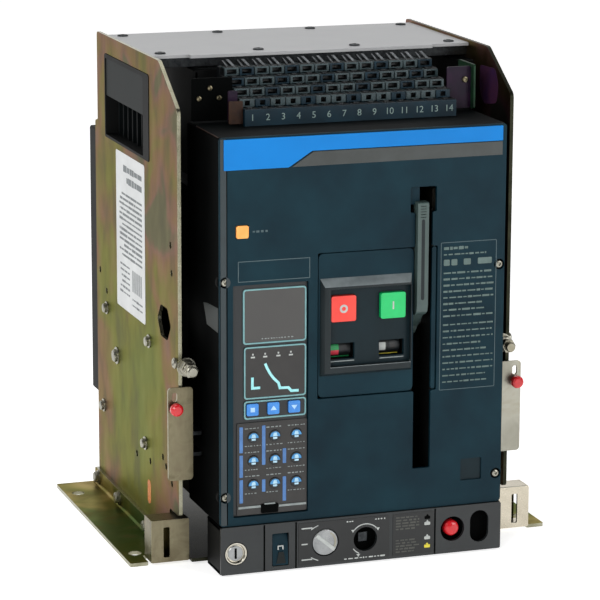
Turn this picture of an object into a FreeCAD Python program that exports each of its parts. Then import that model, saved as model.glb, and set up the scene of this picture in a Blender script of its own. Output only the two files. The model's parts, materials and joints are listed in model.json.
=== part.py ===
import FreeCAD, Part
import os

import Sketcher

# Draw-out (withdrawable) three-pole air circuit breaker in its cradle.
# Millimetres. X runs across the front, Y from the front to the back, Z up.
# The origin is the centre of the four mounting holes, on the plane the feet stand on.

Vector = FreeCAD.Vector
Rotation = FreeCAD.Rotation
Placement = FreeCAD.Placement

doc = FreeCAD.newDocument("air_circuit_breaker")
sheet = doc.addObject("Spreadsheet::Sheet", "Sizes")


class Size:
    """A length that is a number here and a spreadsheet expression in the document."""

    def __init__(self, value, text=None):
        self.value = float(value)
        self.text = text or "(%r)" % float(value)

    def __add__(self, other):
        other = size(other)
        return Size(self.value + other.value, "(%s + %s)" % (self.text, other.text))

    def __sub__(self, other):
        other = size(other)
        return Size(self.value - other.value, "(%s - %s)" % (self.text, other.text))

    def __mul__(self, factor):
        other = size(factor)
        return Size(self.value * other.value, "(%s * %s)" % (self.text, other.text))

    def __truediv__(self, factor):
        other = size(factor)
        return Size(self.value / other.value, "(%s / %s)" % (self.text, other.text))

    def __radd__(self, other):
        return size(other) + self

    def __rsub__(self, other):
        return size(other) - self

    def __rmul__(self, other):
        return size(other) * self

    def __neg__(self):
        return self * -1


def size(length):
    """Any number or Size as a Size."""
    return length if isinstance(length, Size) else Size(length)


next_row = 1


def dimension(alias, value, meaning, start=None, ratio=None):
    """One driving dimension: a row of the sheet, and a Size bound to its cell.

    With a ratio the value grows in that proportion, and with a start it is measured from
    there; the place it leads to then has its own cell in the row.
    """
    global next_row
    sheet.set("A%d" % next_row, meaning)
    sheet.set("B%d" % next_row, str(value))
    sheet.setAlias("B%d" % next_row, alias)
    place = Size(value, "Sizes." + alias)
    if ratio is not None:
        place = place * ratio
    if start is not None:
        place = start + place
    if ratio is not None or start is not None:
        sheet.set("C%d" % next_row, "=" + place.text.replace("Sizes.", ""))
        sheet.setAlias("C%d" % next_row, alias + "_place")
        place = Size(place.value, "Sizes.%s_place" % alias)
    next_row += 1
    return place


# ---- driving dimensions -------------------------------------------------------------

# poles: their pitch sets the width of the breaker, and with it the cradle's
pole_pitch = dimension("pole_pitch", 70, "distance between poles")
pole_wall = dimension("pole_wall", 6, "wall between two pole chambers")
body_wall = dimension("body_wall", 16, "outer wall of the pole housing")
chamber_half = (pole_pitch - pole_wall) / 2
body_half = pole_pitch + chamber_half + body_wall
cover_half = dimension("cover_half", 1, "front cover, beyond the pole housing", body_half)

# cradle: overall sizes
cradle_height = dimension("cradle_height", 400, "top of the side plates")
cradle_depth = dimension("cradle_depth", 245, "side plates, front to back")
sheet_gauge = dimension("sheet_gauge", 3, "gauge of the cradle's sheet steel")
plate_inside = dimension("plate_inside", 19, "side plates, clear of the cover", cover_half)
half_width = plate_inside + sheet_gauge

# Places are laid out for these sizes, and follow the real ones in proportion.
layout_half = dimension("layout_half", 119, "front cover, half width of the layout")
layout_height = dimension("layout_height", 400, "cradle, height of the layout")
layout_depth = dimension("layout_depth", 245, "cradle, depth of the layout")
wide = cover_half / layout_half
tall = cradle_height / layout_height
deep = cradle_depth / layout_depth
cradle_front = dimension("cradle_front", -125, "front edge of the side plates", ratio=deep)
cradle_rear = dimension("cradle_rear", 120, "rear edge of the side plates", ratio=deep)
slope_run = dimension("slope_run", 51, "sloping top front corner, along Y")
slope_drop = dimension("slope_drop", 32, "sloping top front corner, along Z")
rear_step_in = dimension("rear_step_in", 8, "step in the upper rear edge")
rear_step_height = dimension("rear_step_height", 324, "height of that step", ratio=tall)
window_front = dimension("window_front", -47, "arc chute window, front edge", ratio=deep)
window_rear = dimension("window_rear", 87, "arc chute window, rear edge", ratio=deep)
window_low = dimension("window_low", 314, "arc chute window, lower edge", ratio=tall)
window_high = dimension("window_high", 385, "arc chute window, upper edge", ratio=tall)
sight_y = dimension("sight_y", -86, "centre of the six-sided hole", ratio=deep)
sight_z = dimension("sight_z", 191.5, "height of the six-sided hole", ratio=tall)
sight_length = dimension("sight_length", 38, "length of the six-sided hole")
sight_height = dimension("sight_height", 26, "height of the six-sided hole itself")
corner_round = dimension("corner_round", 5, "rounded corners of the side plates")

# feet, front corner brackets and the mounting holes
foot_reach = dimension("foot_reach", 38, "foot flange beyond the side plate")
foot_front = dimension("foot_front", -116, "front edge of the foot flange", ratio=deep)
foot_rear = dimension("foot_rear", 123, "rear edge of the foot flange", ratio=deep)
foot_rise = dimension("foot_rise", 16, "height of the foot's upright flange")
mount_spacing_x = dimension("mount_spacing_x", 54, "mounting holes, across, more than the side plates' width",
                            half_width * 2)
mount_spacing_y = dimension("mount_spacing_y", 180, "mounting holes, front to back", ratio=deep)
mount_radius = dimension("mount_radius", 5.5, "mounting hole radius")
corner_outer = dimension("corner_outer", 22, "corner bracket, outer side beyond the side plate",
                         half_width)
corner_inner = dimension("corner_inner", -9.5, "corner bracket, inner side from the side plate",
                         half_width)
corner_front = dimension("corner_front", -121, "corner bracket, front face", ratio=deep)
corner_depth = dimension("corner_depth", 20, "corner bracket, front to back")
corner_height = dimension("corner_height", 38, "corner bracket, top")
corner_gauge = dimension("corner_gauge", 2, "corner bracket, sheet gauge")
corner_slot = dimension("corner_slot", 5, "slot in the corner bracket, width")

# top
lid_front = dimension("lid_front", -35, "top plate, front edge", ratio=deep)
lid_rear = dimension("lid_rear", 101, "top plate, rear edge", ratio=deep)
lid_tab = dimension("lid_tab", 5, "top plate, forward tab")
lid_tab_half = dimension("lid_tab_half", -37, "top plate, end of the tab from the side plate",
                         half_width)
lid_gauge = dimension("lid_gauge", 2.5, "top plate, gauge")
lid_level = dimension("lid_level", -2, "top plate, upper face from the cradle's top", cradle_height)
lid_screw_side = dimension("lid_screw_side", -16.5, "outer screws of the top plate, from the side plate",
                           half_width)
lid_screw_mid = dimension("lid_screw_mid", 41.5, "inner screws of the top plate", ratio=wide)
bar_depth = dimension("bar_depth", 14, "cross bar under the top plate, along Y")
bar_height = dimension("bar_height", 8, "cross bar under the top plate, height")
lid_head_radius = dimension("lid_head_radius", 4.5, "screw head of the top plate")
lid_head_height = dimension("lid_head_height", 1.4, "height of that screw head")

# rear insulating wall and the power terminals
wall_half = dimension("wall_half", -1, "rear wall, end from the side plate", half_width)
wall_depth = dimension("wall_depth", 25, "rear wall, thickness")
wall_low = dimension("wall_low", 80, "rear wall, lower edge", ratio=tall)
wall_high = dimension("wall_high", 315, "rear wall, upper edge", ratio=tall)
wall_slope = dimension("wall_slope", 11, "rear wall, sloping lower edge")
copper_width = dimension("copper_width", -14, "power terminal, less than the chamber's width",
                         chamber_half * 2)
copper_gauge = dimension("copper_gauge", 10, "power terminal, thickness")
upper_level = dimension("upper_level", 250, "upper terminals, middle height", ratio=tall)
lower_level = dimension("lower_level", 130, "lower terminals, middle height", ratio=tall)
copper_front = dimension("copper_front", 97, "cradle terminal, front end", ratio=deep)
copper_rear = dimension("copper_rear", 187, "cradle terminal, rear end", ratio=deep)
copper_hole = dimension("copper_hole", 5.5, "terminal bolt hole radius")
copper_hole_pitch = copper_width / 2
copper_hole_end = dimension("copper_hole_end", 13, "terminal bolt holes, from the end")

# racking panel and racking gear
panel_half = cover_half
panel_front = dimension("panel_front", -166, "racking panel, front face", ratio=deep)
panel_depth = dimension("panel_depth", 36, "racking panel, depth")
panel_low = dimension("panel_low", 2, "racking panel, lower edge")
panel_high = dimension("panel_high", 41, "racking panel, upper edge", ratio=tall)
panel_wall = dimension("panel_wall", 3, "racking panel, wall")
lock_x = dimension("lock_x", 12.6, "key lock, from the panel's left end", -panel_half)
lock_z = dimension("lock_z", 19, "key lock, height", ratio=tall)
lock_radius = dimension("lock_radius", 9.2, "key lock barrel radius")
tab_x = dimension("tab_x", -69.5, "padlock tab, across", ratio=wide)
tab_width = dimension("tab_width", 13, "padlock tab, width")
tab_low = dimension("tab_low", 4, "padlock tab, lower end above the panel's", panel_low)
tab_high = dimension("tab_high", 32, "padlock tab, upper end", ratio=tall)
pointer_x = dimension("pointer_x", -32, "position pointer, across", ratio=wide)
pointer_z = dimension("pointer_z", 21.4, "position pointer, height", ratio=tall)
pointer_radius = dimension("pointer_radius", 11, "position pointer radius")
crank_x = dimension("crank_x", 2, "crank hole, across", ratio=wide)
crank_z = dimension("crank_z", 21, "crank hole, height", ratio=tall)
crank_radius = dimension("crank_radius", 10, "crank hole radius")
release_x = dimension("release_x", 77, "racking release button, across", ratio=wide)
release_z = dimension("release_z", 22.2, "racking release button, height", ratio=tall)
release_radius = dimension("release_radius", 6.5, "racking release button radius")
release_well = dimension("release_well", 10.3, "hole around the release button")
store_x = dimension("store_x", 100.3, "crank store, across", ratio=wide)
store_width = dimension("store_width", 16, "crank store, width")
store_low = dimension("store_low", 9, "crank store, lower end", ratio=tall)
store_high = dimension("store_high", 35.6, "crank store, upper end", ratio=tall)
screw_radius = dimension("screw_radius", 6, "racking screw radius")
screw_rear = dimension("screw_rear", 60, "racking screw, rear end", ratio=deep)
socket_square = dimension("socket_square", 8, "square drive of the racking screw")
carriage_half = dimension("carriage_half", 50, "racking carriage, half width")
carriage_front = dimension("carriage_front", -60, "racking carriage, from the screw's rear end",
                           screw_rear)
carriage_depth = dimension("carriage_depth", 30, "racking carriage, depth")
carriage_low = dimension("carriage_low", 8, "racking carriage, bottom")
carriage_high = dimension("carriage_high", 38, "racking carriage, top", ratio=tall)

# draw-out rails
rail_inner = dimension("rail_inner", 2, "rail flanges, clear of the cover", cover_half)
rail_low = dimension("rail_low", 90, "rail, lower face", ratio=tall)
rail_high = dimension("rail_high", 20, "rail, height", rail_low)
rail_rear = dimension("rail_rear", 90, "rail, rear end", ratio=deep)
grip_inner = dimension("grip_inner", -11, "rail front plate, inner edge from the side plate", half_width)
grip_outer = dimension("grip_outer", 9.5, "rail front plate, beyond the side plate", half_width)
grip_low = dimension("grip_low", 72, "rail front plate, lower edge", ratio=tall)
grip_high = dimension("grip_high", 148, "rail front plate, upper edge", ratio=tall)
grip_gauge = dimension("grip_gauge", 2, "rail front plate, gauge")
knob_radius = dimension("knob_radius", 5.2, "rail latch knob radius")
knob_x = dimension("knob_x", 4, "rail latch knob, beyond the side plate", half_width)
knob_z = dimension("knob_z", 131.5, "rail latch knob, height", ratio=tall)
knob_length = dimension("knob_length", 9, "rail latch knob, length")
stud_x = dimension("stud_x", -6.5, "hexagon stop stud, from the side plate", half_width)
stud_z = dimension("stud_z", 163.6, "hexagon stop stud, height", ratio=tall)
stud_radius = dimension("stud_radius", 7.5, "hexagon stop stud, corner radius")
stud_length = dimension("stud_length", 20, "hexagon stop stud, length")

# breaker: front cover
cover_front = dimension("cover_front", -164, "front cover, front face", ratio=deep)
cover_rear = dimension("cover_rear", -80, "front cover, rear edge", ratio=deep)
cover_low = dimension("cover_low", 0.4, "front cover, gap above the racking panel", panel_high)
cover_high = dimension("cover_high", 351.4, "front cover, upper edge", ratio=tall)
cover_wall = dimension("cover_wall", 3, "front cover, wall")
cover_chamfer = dimension("cover_chamfer", 1.5, "front cover, chamfered front edge")
fascia_low = dimension("fascia_low", 338, "fascia strip, lower edge of the thin part", ratio=tall)
fascia_deep = dimension("fascia_deep", 326, "fascia strip, lower edge of the deep part", ratio=tall)
fascia_deep_end = dimension("fascia_deep_end", -63, "fascia strip, end of the deep part", ratio=wide)
fascia_slope_end = dimension("fascia_slope_end", -44, "fascia strip, end of its slope", ratio=wide)
fascia_gauge = dimension("fascia_gauge", 1, "fascia strip, thickness")
fascia_side = dimension("fascia_side", -3.5, "fascia strip, from the cover's side", cover_half)
cover_screw_x = dimension("cover_screw_x", -4.5, "cover screws, from the cover's side", cover_half)
cover_screw_top = dimension("cover_screw_top", 238, "upper cover screws, height", ratio=tall)
cover_screw_low = dimension("cover_screw_low", 65, "lower cover screws, height", ratio=tall)
cover_head_radius = dimension("cover_head_radius", 3, "cover screw head radius")
vent_x = dimension("vent_x", 93, "square blind recess, across", ratio=wide)
vent_z = dimension("vent_z", 70.5, "square blind recess, height", ratio=tall)
vent_side = dimension("vent_side", 18, "square blind recess, side")

# breaker: button module
module_left = dimension("module_left", -38.5, "button module, left edge", ratio=wide)
module_right = dimension("module_right", 61, "button module, right edge", ratio=wide)
module_low = dimension("module_low", 139, "button module, lower edge", ratio=tall)
module_high = dimension("module_high", 256.5, "button module, upper edge", ratio=tall)
module_gap = dimension("module_gap", 0.4, "gap between the module and the cover")
module_depth = dimension("module_depth", 6, "button module, depth behind the face")
ridge_proud = dimension("ridge_proud", 4.5, "ridge around the buttons, height")
ridge_left = dimension("ridge_left", -36.5, "ridge, left edge", ratio=wide)
ridge_right = dimension("ridge_right", 40.6, "ridge, right edge", ratio=wide)
ridge_low = dimension("ridge_low", 157, "ridge, lower edge", ratio=tall)
ridge_high = dimension("ridge_high", 236, "ridge, upper edge", ratio=tall)
ridge_wall = dimension("ridge_wall", 5, "ridge, width of its top")
button_side = dimension("button_side", 20.6, "ON and OFF buttons, side")
button_gap = dimension("button_gap", 0.4, "gap around a button")
button_front = dimension("button_front", -3, "ON and OFF buttons, from the cover's face", cover_front)
button_depth = dimension("button_depth", 16, "ON and OFF buttons, depth")
off_x = dimension("off_x", -17.9, "OFF button, across", ratio=wide)
on_x = dimension("on_x", 23.6, "ON button, across", ratio=wide)
button_z = dimension("button_z", 211.4, "ON and OFF buttons, height", ratio=tall)
flag_z = dimension("flag_z", 176.5, "indicator windows, height", ratio=tall)
flag_window_width = dimension("flag_window_width", 21, "indicator window, width")
flag_window_height = dimension("flag_window_height", 13, "indicator window, height")
flag_radius = dimension("flag_radius", 8.5, "indicator drum radius")
flag_y = dimension("flag_y", 15.5, "indicator drums, behind the cover's face", cover_front)
flag_width = dimension("flag_width", 19, "indicator drum, width")
reset_x = dimension("reset_x", -100.5, "reset button, across", ratio=wide)
reset_z = dimension("reset_z", 277.3, "reset button, height", ratio=tall)
reset_side = dimension("reset_side", 10, "reset button, side")

# breaker: charging lever, cam shaft and mechanism
slot_left = dimension("slot_left", 41, "lever slot, left edge", ratio=wide)
slot_right = dimension("slot_right", 54.6, "lever slot, right edge", ratio=wide)
slot_low = dimension("slot_low", 75.8, "lever slot, lower end", ratio=tall)
slot_high = dimension("slot_high", 308, "lever slot, upper end", ratio=tall)
lever_left = dimension("lever_left", 43.2, "charging lever, left side", ratio=wide)
lever_right = dimension("lever_right", 52.4, "charging lever, right side", ratio=wide)
lever_low = dimension("lever_low", 198, "charging lever, lower end of the grip bar", ratio=tall)
lever_high = dimension("lever_high", 293, "charging lever, upper end of the grip bar", ratio=tall)
lever_front = dimension("lever_front", -4, "charging lever, from the cover's face", cover_front)
lever_gauge = dimension("lever_gauge", 11, "charging lever, thickness of the grip bar")
lever_hub = dimension("lever_hub", 13, "charging lever, hub radius")
cam_y = dimension("cam_y", 30, "cam shaft, behind the cover's face", cover_front)
cam_z = dimension("cam_z", 192, "cam shaft, height", ratio=tall)
cam_radius = dimension("cam_radius", 6, "cam shaft radius")
cam_lift = dimension("cam_lift", 12, "closing cam radius")
cam_offset = dimension("cam_offset", 3, "closing cam offset from its shaft")
running_gap = dimension("running_gap", 0.05, "radial gap of a shaft in its bore")
plate_left = dimension("plate_left", -36, "mechanism side plate, left one", ratio=wide)
plate_right = dimension("plate_right", 62, "mechanism side plate, right one", ratio=wide)
plate_rear = dimension("plate_rear", -4, "mechanism side plates, from the cover's rear edge", cover_rear)
plate_front = dimension("plate_front", 14, "mechanism side plates, behind the cover's face", cover_front)
plate_low = dimension("plate_low", 100, "mechanism side plates, lower edge", ratio=tall)
plate_high = dimension("plate_high", 300, "mechanism side plates, upper edge", ratio=tall)
spring_x = dimension("spring_x", 4, "closing spring, across", ratio=wide)
spring_y = dimension("spring_y", 44, "closing spring, behind the cover's face", cover_front)
spring_radius = dimension("spring_radius", 11, "closing spring, outer radius")
spring_wire = dimension("spring_wire", 3, "closing spring, wall of its coil")
spring_low = dimension("spring_low", 104, "closing spring, lower end", ratio=tall)
spring_high = dimension("spring_high", 174, "closing spring, upper end", ratio=tall)

# breaker: trip unit
trip_left = dimension("trip_left", -108, "trip unit opening, left edge", ratio=wide)
trip_right = dimension("trip_right", -46, "trip unit opening, right edge", ratio=wide)
trip_low = dimension("trip_low", 48, "trip unit opening, lower edge", ratio=tall)
trip_high = dimension("trip_high", 235, "trip unit opening, upper edge", ratio=tall)
trip_gap = dimension("trip_gap", 0.4, "gap around the trip unit")
trip_front = dimension("trip_front", 1.5, "trip unit, behind the cover's face", cover_front)
trip_rear = dimension("trip_rear", -100, "trip unit, rear face", ratio=deep)
screen_low = dimension("screen_low", 186, "display window, lower edge", ratio=tall)
screen_high = dimension("screen_high", 232, "display window, upper edge", ratio=tall)
screen_left = dimension("screen_left", -102.5, "display window, left edge", ratio=wide)
screen_right = dimension("screen_right", -50, "display window, right edge", ratio=wide)
screen_gauge = dimension("screen_gauge", 1.5, "display window, thickness")
key_z = dimension("key_z", 134.6, "keys, height", ratio=tall)
key_middle = dimension("key_middle", -74.6, "middle key, across", ratio=wide)
key_pitch = dimension("key_pitch", 17.2, "keys, spacing", ratio=wide)
key_side = dimension("key_side", 9.6, "keys, side")
key_depth = dimension("key_depth", 6, "keys, depth")
dial_middle_x = dimension("dial_middle_x", -73.2, "middle dial, across", ratio=wide)
dial_middle_z = dimension("dial_middle_z", 92.8, "middle dial, height", ratio=tall)
dial_pitch_x = dimension("dial_pitch_x", 17.8, "dials, spacing across", ratio=wide)
dial_pitch_z = dimension("dial_pitch_z", 19.4, "dials, spacing in height", ratio=tall)
dial_radius = dimension("dial_radius", 4.6, "dial radius")
dial_depth = dimension("dial_depth", 7, "dial depth")
dial_proud = dimension("dial_proud", 1, "dial, proud of the trip unit's face")

# breaker: secondary terminal block
block_middle = dimension("block_middle", 5.75, "terminal block, middle of its columns", ratio=wide)
block_pitch = dimension("block_pitch", 12.7, "terminal block, column spacing", ratio=wide)
block_front = dimension("block_front", -117, "terminal block, front face", ratio=deep)
block_strip = dimension("block_strip", 13, "terminal block, height of its front strip", ratio=tall)
block_run = dimension("block_run", 13.5, "terminal block, depth of one step", ratio=deep)
block_rise = dimension("block_rise", 6.4, "terminal block, height of one step", ratio=tall)
block_end = dimension("block_end", 6, "terminal block, end wall")
entry_width = dimension("entry_width", 8, "wire entry, width")
entry_height = dimension("entry_height", 4.6, "wire entry, height")
entry_depth = dimension("entry_depth", 9, "wire entry, depth")
clip_width = dimension("clip_width", 3, "terminal clip, width")
clip_height = dimension("clip_height", 6, "terminal clip, height")
BLOCK_COLUMNS = 14
BLOCK_STEPS = 4

# breaker: pole housing, contacts and arc chutes
body_front = dimension("body_front", 0.5, "pole housing, gap behind the cover", cover_rear)
body_rear = dimension("body_rear", 92, "pole housing, rear face", ratio=deep)
body_low = dimension("body_low", 45, "pole housing, bottom", ratio=tall)
body_high = dimension("body_high", 299, "pole housing, top", ratio=tall)
chamber_front = dimension("chamber_front", -62, "pole chamber, front", ratio=deep)
chamber_rear = dimension("chamber_rear", 84, "pole chamber, rear", ratio=deep)
chamber_low = dimension("chamber_low", 60, "pole chamber, floor", ratio=tall)
lug_half = dimension("lug_half", 8, "support lug, over the rail", rail_inner)
lug_length = dimension("lug_length", 24, "support lug, length")
lug_height = dimension("lug_height", 9, "support lug, height")
lug_gap = dimension("lug_gap", 0.4, "support lug above the rail")
shaft_z = dimension("shaft_z", 152, "main shaft, height", ratio=tall)
arm_reach = dimension("arm_reach", 14, "moving contact, above the upper terminal's middle",
                      upper_level - shaft_z)
shaft_y = dimension("shaft_y", 0.375, "main shaft, behind the chamber's front, share of arm_reach",
                    chamber_front, arm_reach)
shaft_radius = dimension("shaft_radius", 8, "main shaft radius")
arm_width = dimension("arm_width", -24, "moving contact, less than the chamber's width",
                      chamber_half * 2)
arm_gauge = dimension("arm_gauge", 12, "moving contact, thickness")
arm_hub = dimension("arm_hub", 14, "moving contact, hub radius")
arm_open = 16.0  # degrees that the contacts stand open at rest
contact_gap = dimension("contact_gap", 0.4, "closed contacts, modelled gap")
stab_rear = dimension("stab_rear", 2, "breaker's own bars, behind the pole housing", body_rear)
lower_stab_front = dimension("lower_stab_front", 26, "lower bar, behind the main shaft", shaft_y)
stab_gap = dimension("stab_gap", 0.3, "bar in its opening")
jaw_width = dimension("jaw_width", -18, "contact finger, less than the chamber's width",
                      chamber_half * 2)
jaw_gauge = dimension("jaw_gauge", 6, "contact finger, thickness")
jaw_rear = dimension("jaw_rear", 116, "contact finger, rear end", ratio=deep)
ct_front = dimension("ct_front", -36, "current transformer, from the chamber's rear", chamber_rear)
ct_depth = dimension("ct_depth", 26, "current transformer, depth")
ct_half = dimension("ct_half", 30.5, "current transformer, half height")
chute_half = dimension("chute_half", 1, "arc chute, beyond the chamber on each side", chamber_half)
chute_front = dimension("chute_front", -42, "arc chute, front", ratio=deep)
chute_rear = dimension("chute_rear", 86, "arc chute, rear", ratio=deep)
chute_high = dimension("chute_high", -1.5, "arc chute, under the top plate's cross bars",
                       lid_level - lid_gauge - bar_height)
chute_wall = dimension("chute_wall", 4, "arc chute, wall")
splitter_gauge = dimension("splitter_gauge", 2, "splitter plate, thickness")
splitter_pitch = dimension("splitter_pitch", 13, "splitter plates, spacing", ratio=deep)
SPLITTERS = 8
POLES = (-1, 0, 1)

doc.recompute()

# ---- primitives bound to the sheet ------------------------------------------------------

TURNS = {
    "x": Rotation(Vector(0, 1, 0), 90),
    "y": Rotation(Vector(1, 0, 0), -90),
    "z": Rotation(),
}
PLANES = {"x": ("YZ_Plane", 1), "y": ("XZ_Plane", -1), "z": ("XY_Plane", 1)}
subparts = []


def bind(thing, field, length):
    """Bind one property of an object to an expression of the sheet."""
    thing.setExpression(field, size(length).text)


def box(name, x_span, y_span, z_span):
    """Block between two lengths along each axis."""
    solid = doc.addObject("Part::Box", name)
    spans = (("Length", "x", x_span), ("Width", "y", y_span), ("Height", "z", z_span))
    for side, axis, (low, high) in spans:
        bind(solid, side, size(high) - low)
        bind(solid, "Placement.Base." + axis, low)
    return solid


def stand(solid, axis, across, span):
    """Lay a cylinder or prism along an axis, from span's low end, on the centre given by across."""
    solid.Placement = Placement(Vector(), TURNS[axis])
    others = [letter for letter in "xyz" if letter != axis]
    for letter, place in zip(others, across):
        bind(solid, "Placement.Base." + letter, place)
    bind(solid, "Placement.Base." + axis, span[0])
    bind(solid, "Height", size(span[1]) - span[0])
    return solid


def rod(name, axis, across, radius, span):
    """Cylinder along an axis; across is its centre on the two other axes, in their order."""
    solid = doc.addObject("Part::Cylinder", name)
    bind(solid, "Radius", radius)
    return stand(solid, axis, across, span)


def hexagon(name, axis, across, radius, span):
    """Six-sided bar along an axis."""
    solid = doc.addObject("Part::Prism", name)
    solid.Polygon = 6
    bind(solid, "Circumradius", radius)
    return stand(solid, axis, across, span)


def fuse(name, *solids):
    """One solid of several."""
    result = doc.addObject("Part::MultiFuse", name)
    result.Shapes = list(solids)
    result.Refine = True
    return result


def cut(name, base, *tools):
    """A base with tools taken out of it."""
    result = doc.addObject("Part::Cut", name)
    result.Base = base
    result.Tool = tools[0] if len(tools) == 1 else fuse(name + "_tools", *tools)
    return result


def group(name, *solids):
    """Separate solids that share one sub-part."""
    result = doc.addObject("Part::Compound", name)
    result.Links = list(solids)
    return result


def subpart(thing, label):
    """Give the finished piece its own name, and keep it for writing."""
    thing.Label = label
    subparts.append(thing)
    return thing


# ---- bodies from sketches ---------------------------------------------------------------


def rectangle(left, right, low, high):
    """Four corners between two lengths on each of a sketch's axes."""
    return "outline", [(left, low), (right, low), (right, high), (left, high)]


def polygon(*corners):
    return "outline", list(corners)


def disc(x, y, radius):
    return "disc", (x, y, radius)


def place_point(sketch, line, end, corner):
    """Hold one end of a line at two distances from the sketch's origin."""
    for kind, length in zip(("DistanceX", "DistanceY"), corner):
        length = size(length)
        rule = Sketcher.Constraint(kind, -1, 1, line, end, length.value)
        index = sketch.addConstraint(rule)
        bind(sketch, "Constraints[%d]" % index, length)


def draw(sketch, shape):
    """Add one closed shape, fully held by constraints bound to the sheet."""
    kind, data = shape
    if kind == "disc":
        x, y, radius = (size(length) for length in data)
        centre = Vector(x.value, y.value, 0)
        ring = sketch.addGeometry(Part.Circle(centre, Vector(0, 0, 1), radius.value))
        place_point(sketch, ring, 3, (x, y))
        index = sketch.addConstraint(Sketcher.Constraint("Radius", ring, radius.value))
        bind(sketch, "Constraints[%d]" % index, radius)
        return
    corners = [(size(x), size(y)) for x, y in data]
    points = [Vector(x.value, y.value, 0) for x, y in corners]
    lines = []
    for number, start in enumerate(points):
        finish = points[(number + 1) % len(points)]
        lines.append(sketch.addGeometry(Part.LineSegment(start, finish)))
    for number, line in enumerate(lines):
        following = lines[(number + 1) % len(lines)]
        sketch.addConstraint(Sketcher.Constraint("Coincident", line, 2, following, 1))
        place_point(sketch, line, 1, corners[number])


def new_body(name):
    return doc.addObject("PartDesign::Body", name)


def profile(body, name, axis, level, shapes):
    """Sketch across an axis at a level along it."""
    role, sign = PLANES[axis]
    plane = [part for part in body.Origin.OriginFeatures if part.Role == role][0]
    sketch = body.newObject("Sketcher::SketchObject", name)
    sketch.AttachmentSupport = [(plane, "")]
    sketch.MapMode = "FlatFace"
    bind(sketch, "AttachmentOffset.Base.z", size(level) * sign)
    for shape in shapes:
        draw(sketch, shape)
    return sketch


def pad(body, name, axis, low, high, *shapes):
    """Solid with this outline between two levels along an axis."""
    start = low if PLANES[axis][1] > 0 else high
    feature = body.newObject("PartDesign::Pad", name)
    feature.Profile = profile(body, name + "_outline", axis, start, shapes)
    bind(feature, "Length", size(high) - low)
    return feature


def pocket(body, name, axis, low, high, *shapes):
    """Opening with this outline between two levels along an axis."""
    start = high if PLANES[axis][1] > 0 else low
    feature = body.newObject("PartDesign::Pocket", name)
    feature.Profile = profile(body, name + "_outline", axis, start, shapes)
    bind(feature, "Length", size(high) - low)
    return feature


def edges_where(feature, test):
    """Names of the straight edges whose start and end pass a test."""
    found = []
    for number, edge in enumerate(feature.Shape.Edges, 1):
        ends = [vertex.Point for vertex in edge.Vertexes]
        if len(ends) == 2 and test(*ends):
            found.append("Edge%d" % number)
    return found


def round_edges(body, name, feature, radius, test):
    """Round the edges of the body's last feature that pass a test."""
    doc.recompute()
    rounding = body.newObject("PartDesign::Fillet", name)
    rounding.Base = (feature, edges_where(feature, test))
    bind(rounding, "Radius", radius)
    return rounding


def near(value, length, margin=0.01):
    return abs(value - size(length).value) < margin


# ---- cradle: side plates ------------------------------------------------------------


def side_plate(name, side):
    """Sheet steel side with a sloping top corner, a window and a six-sided hole."""
    inner = plate_inside if side > 0 else -half_width
    outer = half_width if side > 0 else -plate_inside
    body = new_body(name + "_body")
    notch = corner_front + corner_depth + sheet_gauge
    plate = pad(body, name + "_sheet", "x", inner, outer, polygon(
        (notch, sheet_gauge),
        (notch, corner_height + sheet_gauge),
        (cradle_front, corner_height + sheet_gauge),
        (cradle_front, cradle_height - slope_drop),
        (cradle_front + slope_run, cradle_height),
        (cradle_rear - rear_step_in, cradle_height),
        (cradle_rear - rear_step_in, rear_step_height),
        (cradle_rear, rear_step_height),
        (cradle_rear, sheet_gauge),
    ))

    def rounded(start, end):
        on_slope = near(start.z, cradle_height) or near(start.z, cradle_height - slope_drop)
        return on_slope and start.y < window_rear.value and near(start.distanceToPoint(end),
                                                                 sheet_gauge)

    round_edges(body, name + "_corners", plate, corner_round, rounded)
    pocket(body, name + "_window", "x", inner - 1, outer + 1, rectangle(
        window_front, window_rear, window_low, window_high))
    half = sight_length / 2
    pocket(body, name + "_sight", "x", inner - 1, outer + 1, polygon(
        (sight_y - half, sight_z),
        (sight_y - half / 2, sight_z - sight_height / 2),
        (sight_y + half / 2, sight_z - sight_height / 2),
        (sight_y + half, sight_z),
        (sight_y + half / 2, sight_z + sight_height / 2),
        (sight_y - half / 2, sight_z + sight_height / 2),
    ))
    return subpart(body, name)


# ---- cradle: feet and front corner brackets --------------------------------------------


def foot_bracket(name, side):
    """Angle that stands the cradle up; its flat flange has two mounting holes."""
    body = new_body(name + "_body")
    notch = corner_front + corner_depth + sheet_gauge
    wall = half_width * side
    pad(body, name + "_flange", "z", 0, sheet_gauge, polygon(
        (wall, notch),
        (corner_outer * side + side, notch),
        (corner_outer * side + side, foot_front),
        (wall + foot_reach * side, foot_front),
        (wall + foot_reach * side, foot_rear),
        (wall, foot_rear),
    ))
    upright_low = wall if side > 0 else wall - sheet_gauge
    pad(body, name + "_upright", "x", upright_low, upright_low + sheet_gauge, rectangle(
        notch, foot_rear, 0, foot_rise))
    pocket(body, name + "_holes", "z", -1, sheet_gauge + 1,
           disc(mount_spacing_x / 2 * side, -mount_spacing_y / 2, mount_radius),
           disc(mount_spacing_x / 2 * side, mount_spacing_y / 2, mount_radius))
    return subpart(body, name)


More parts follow.
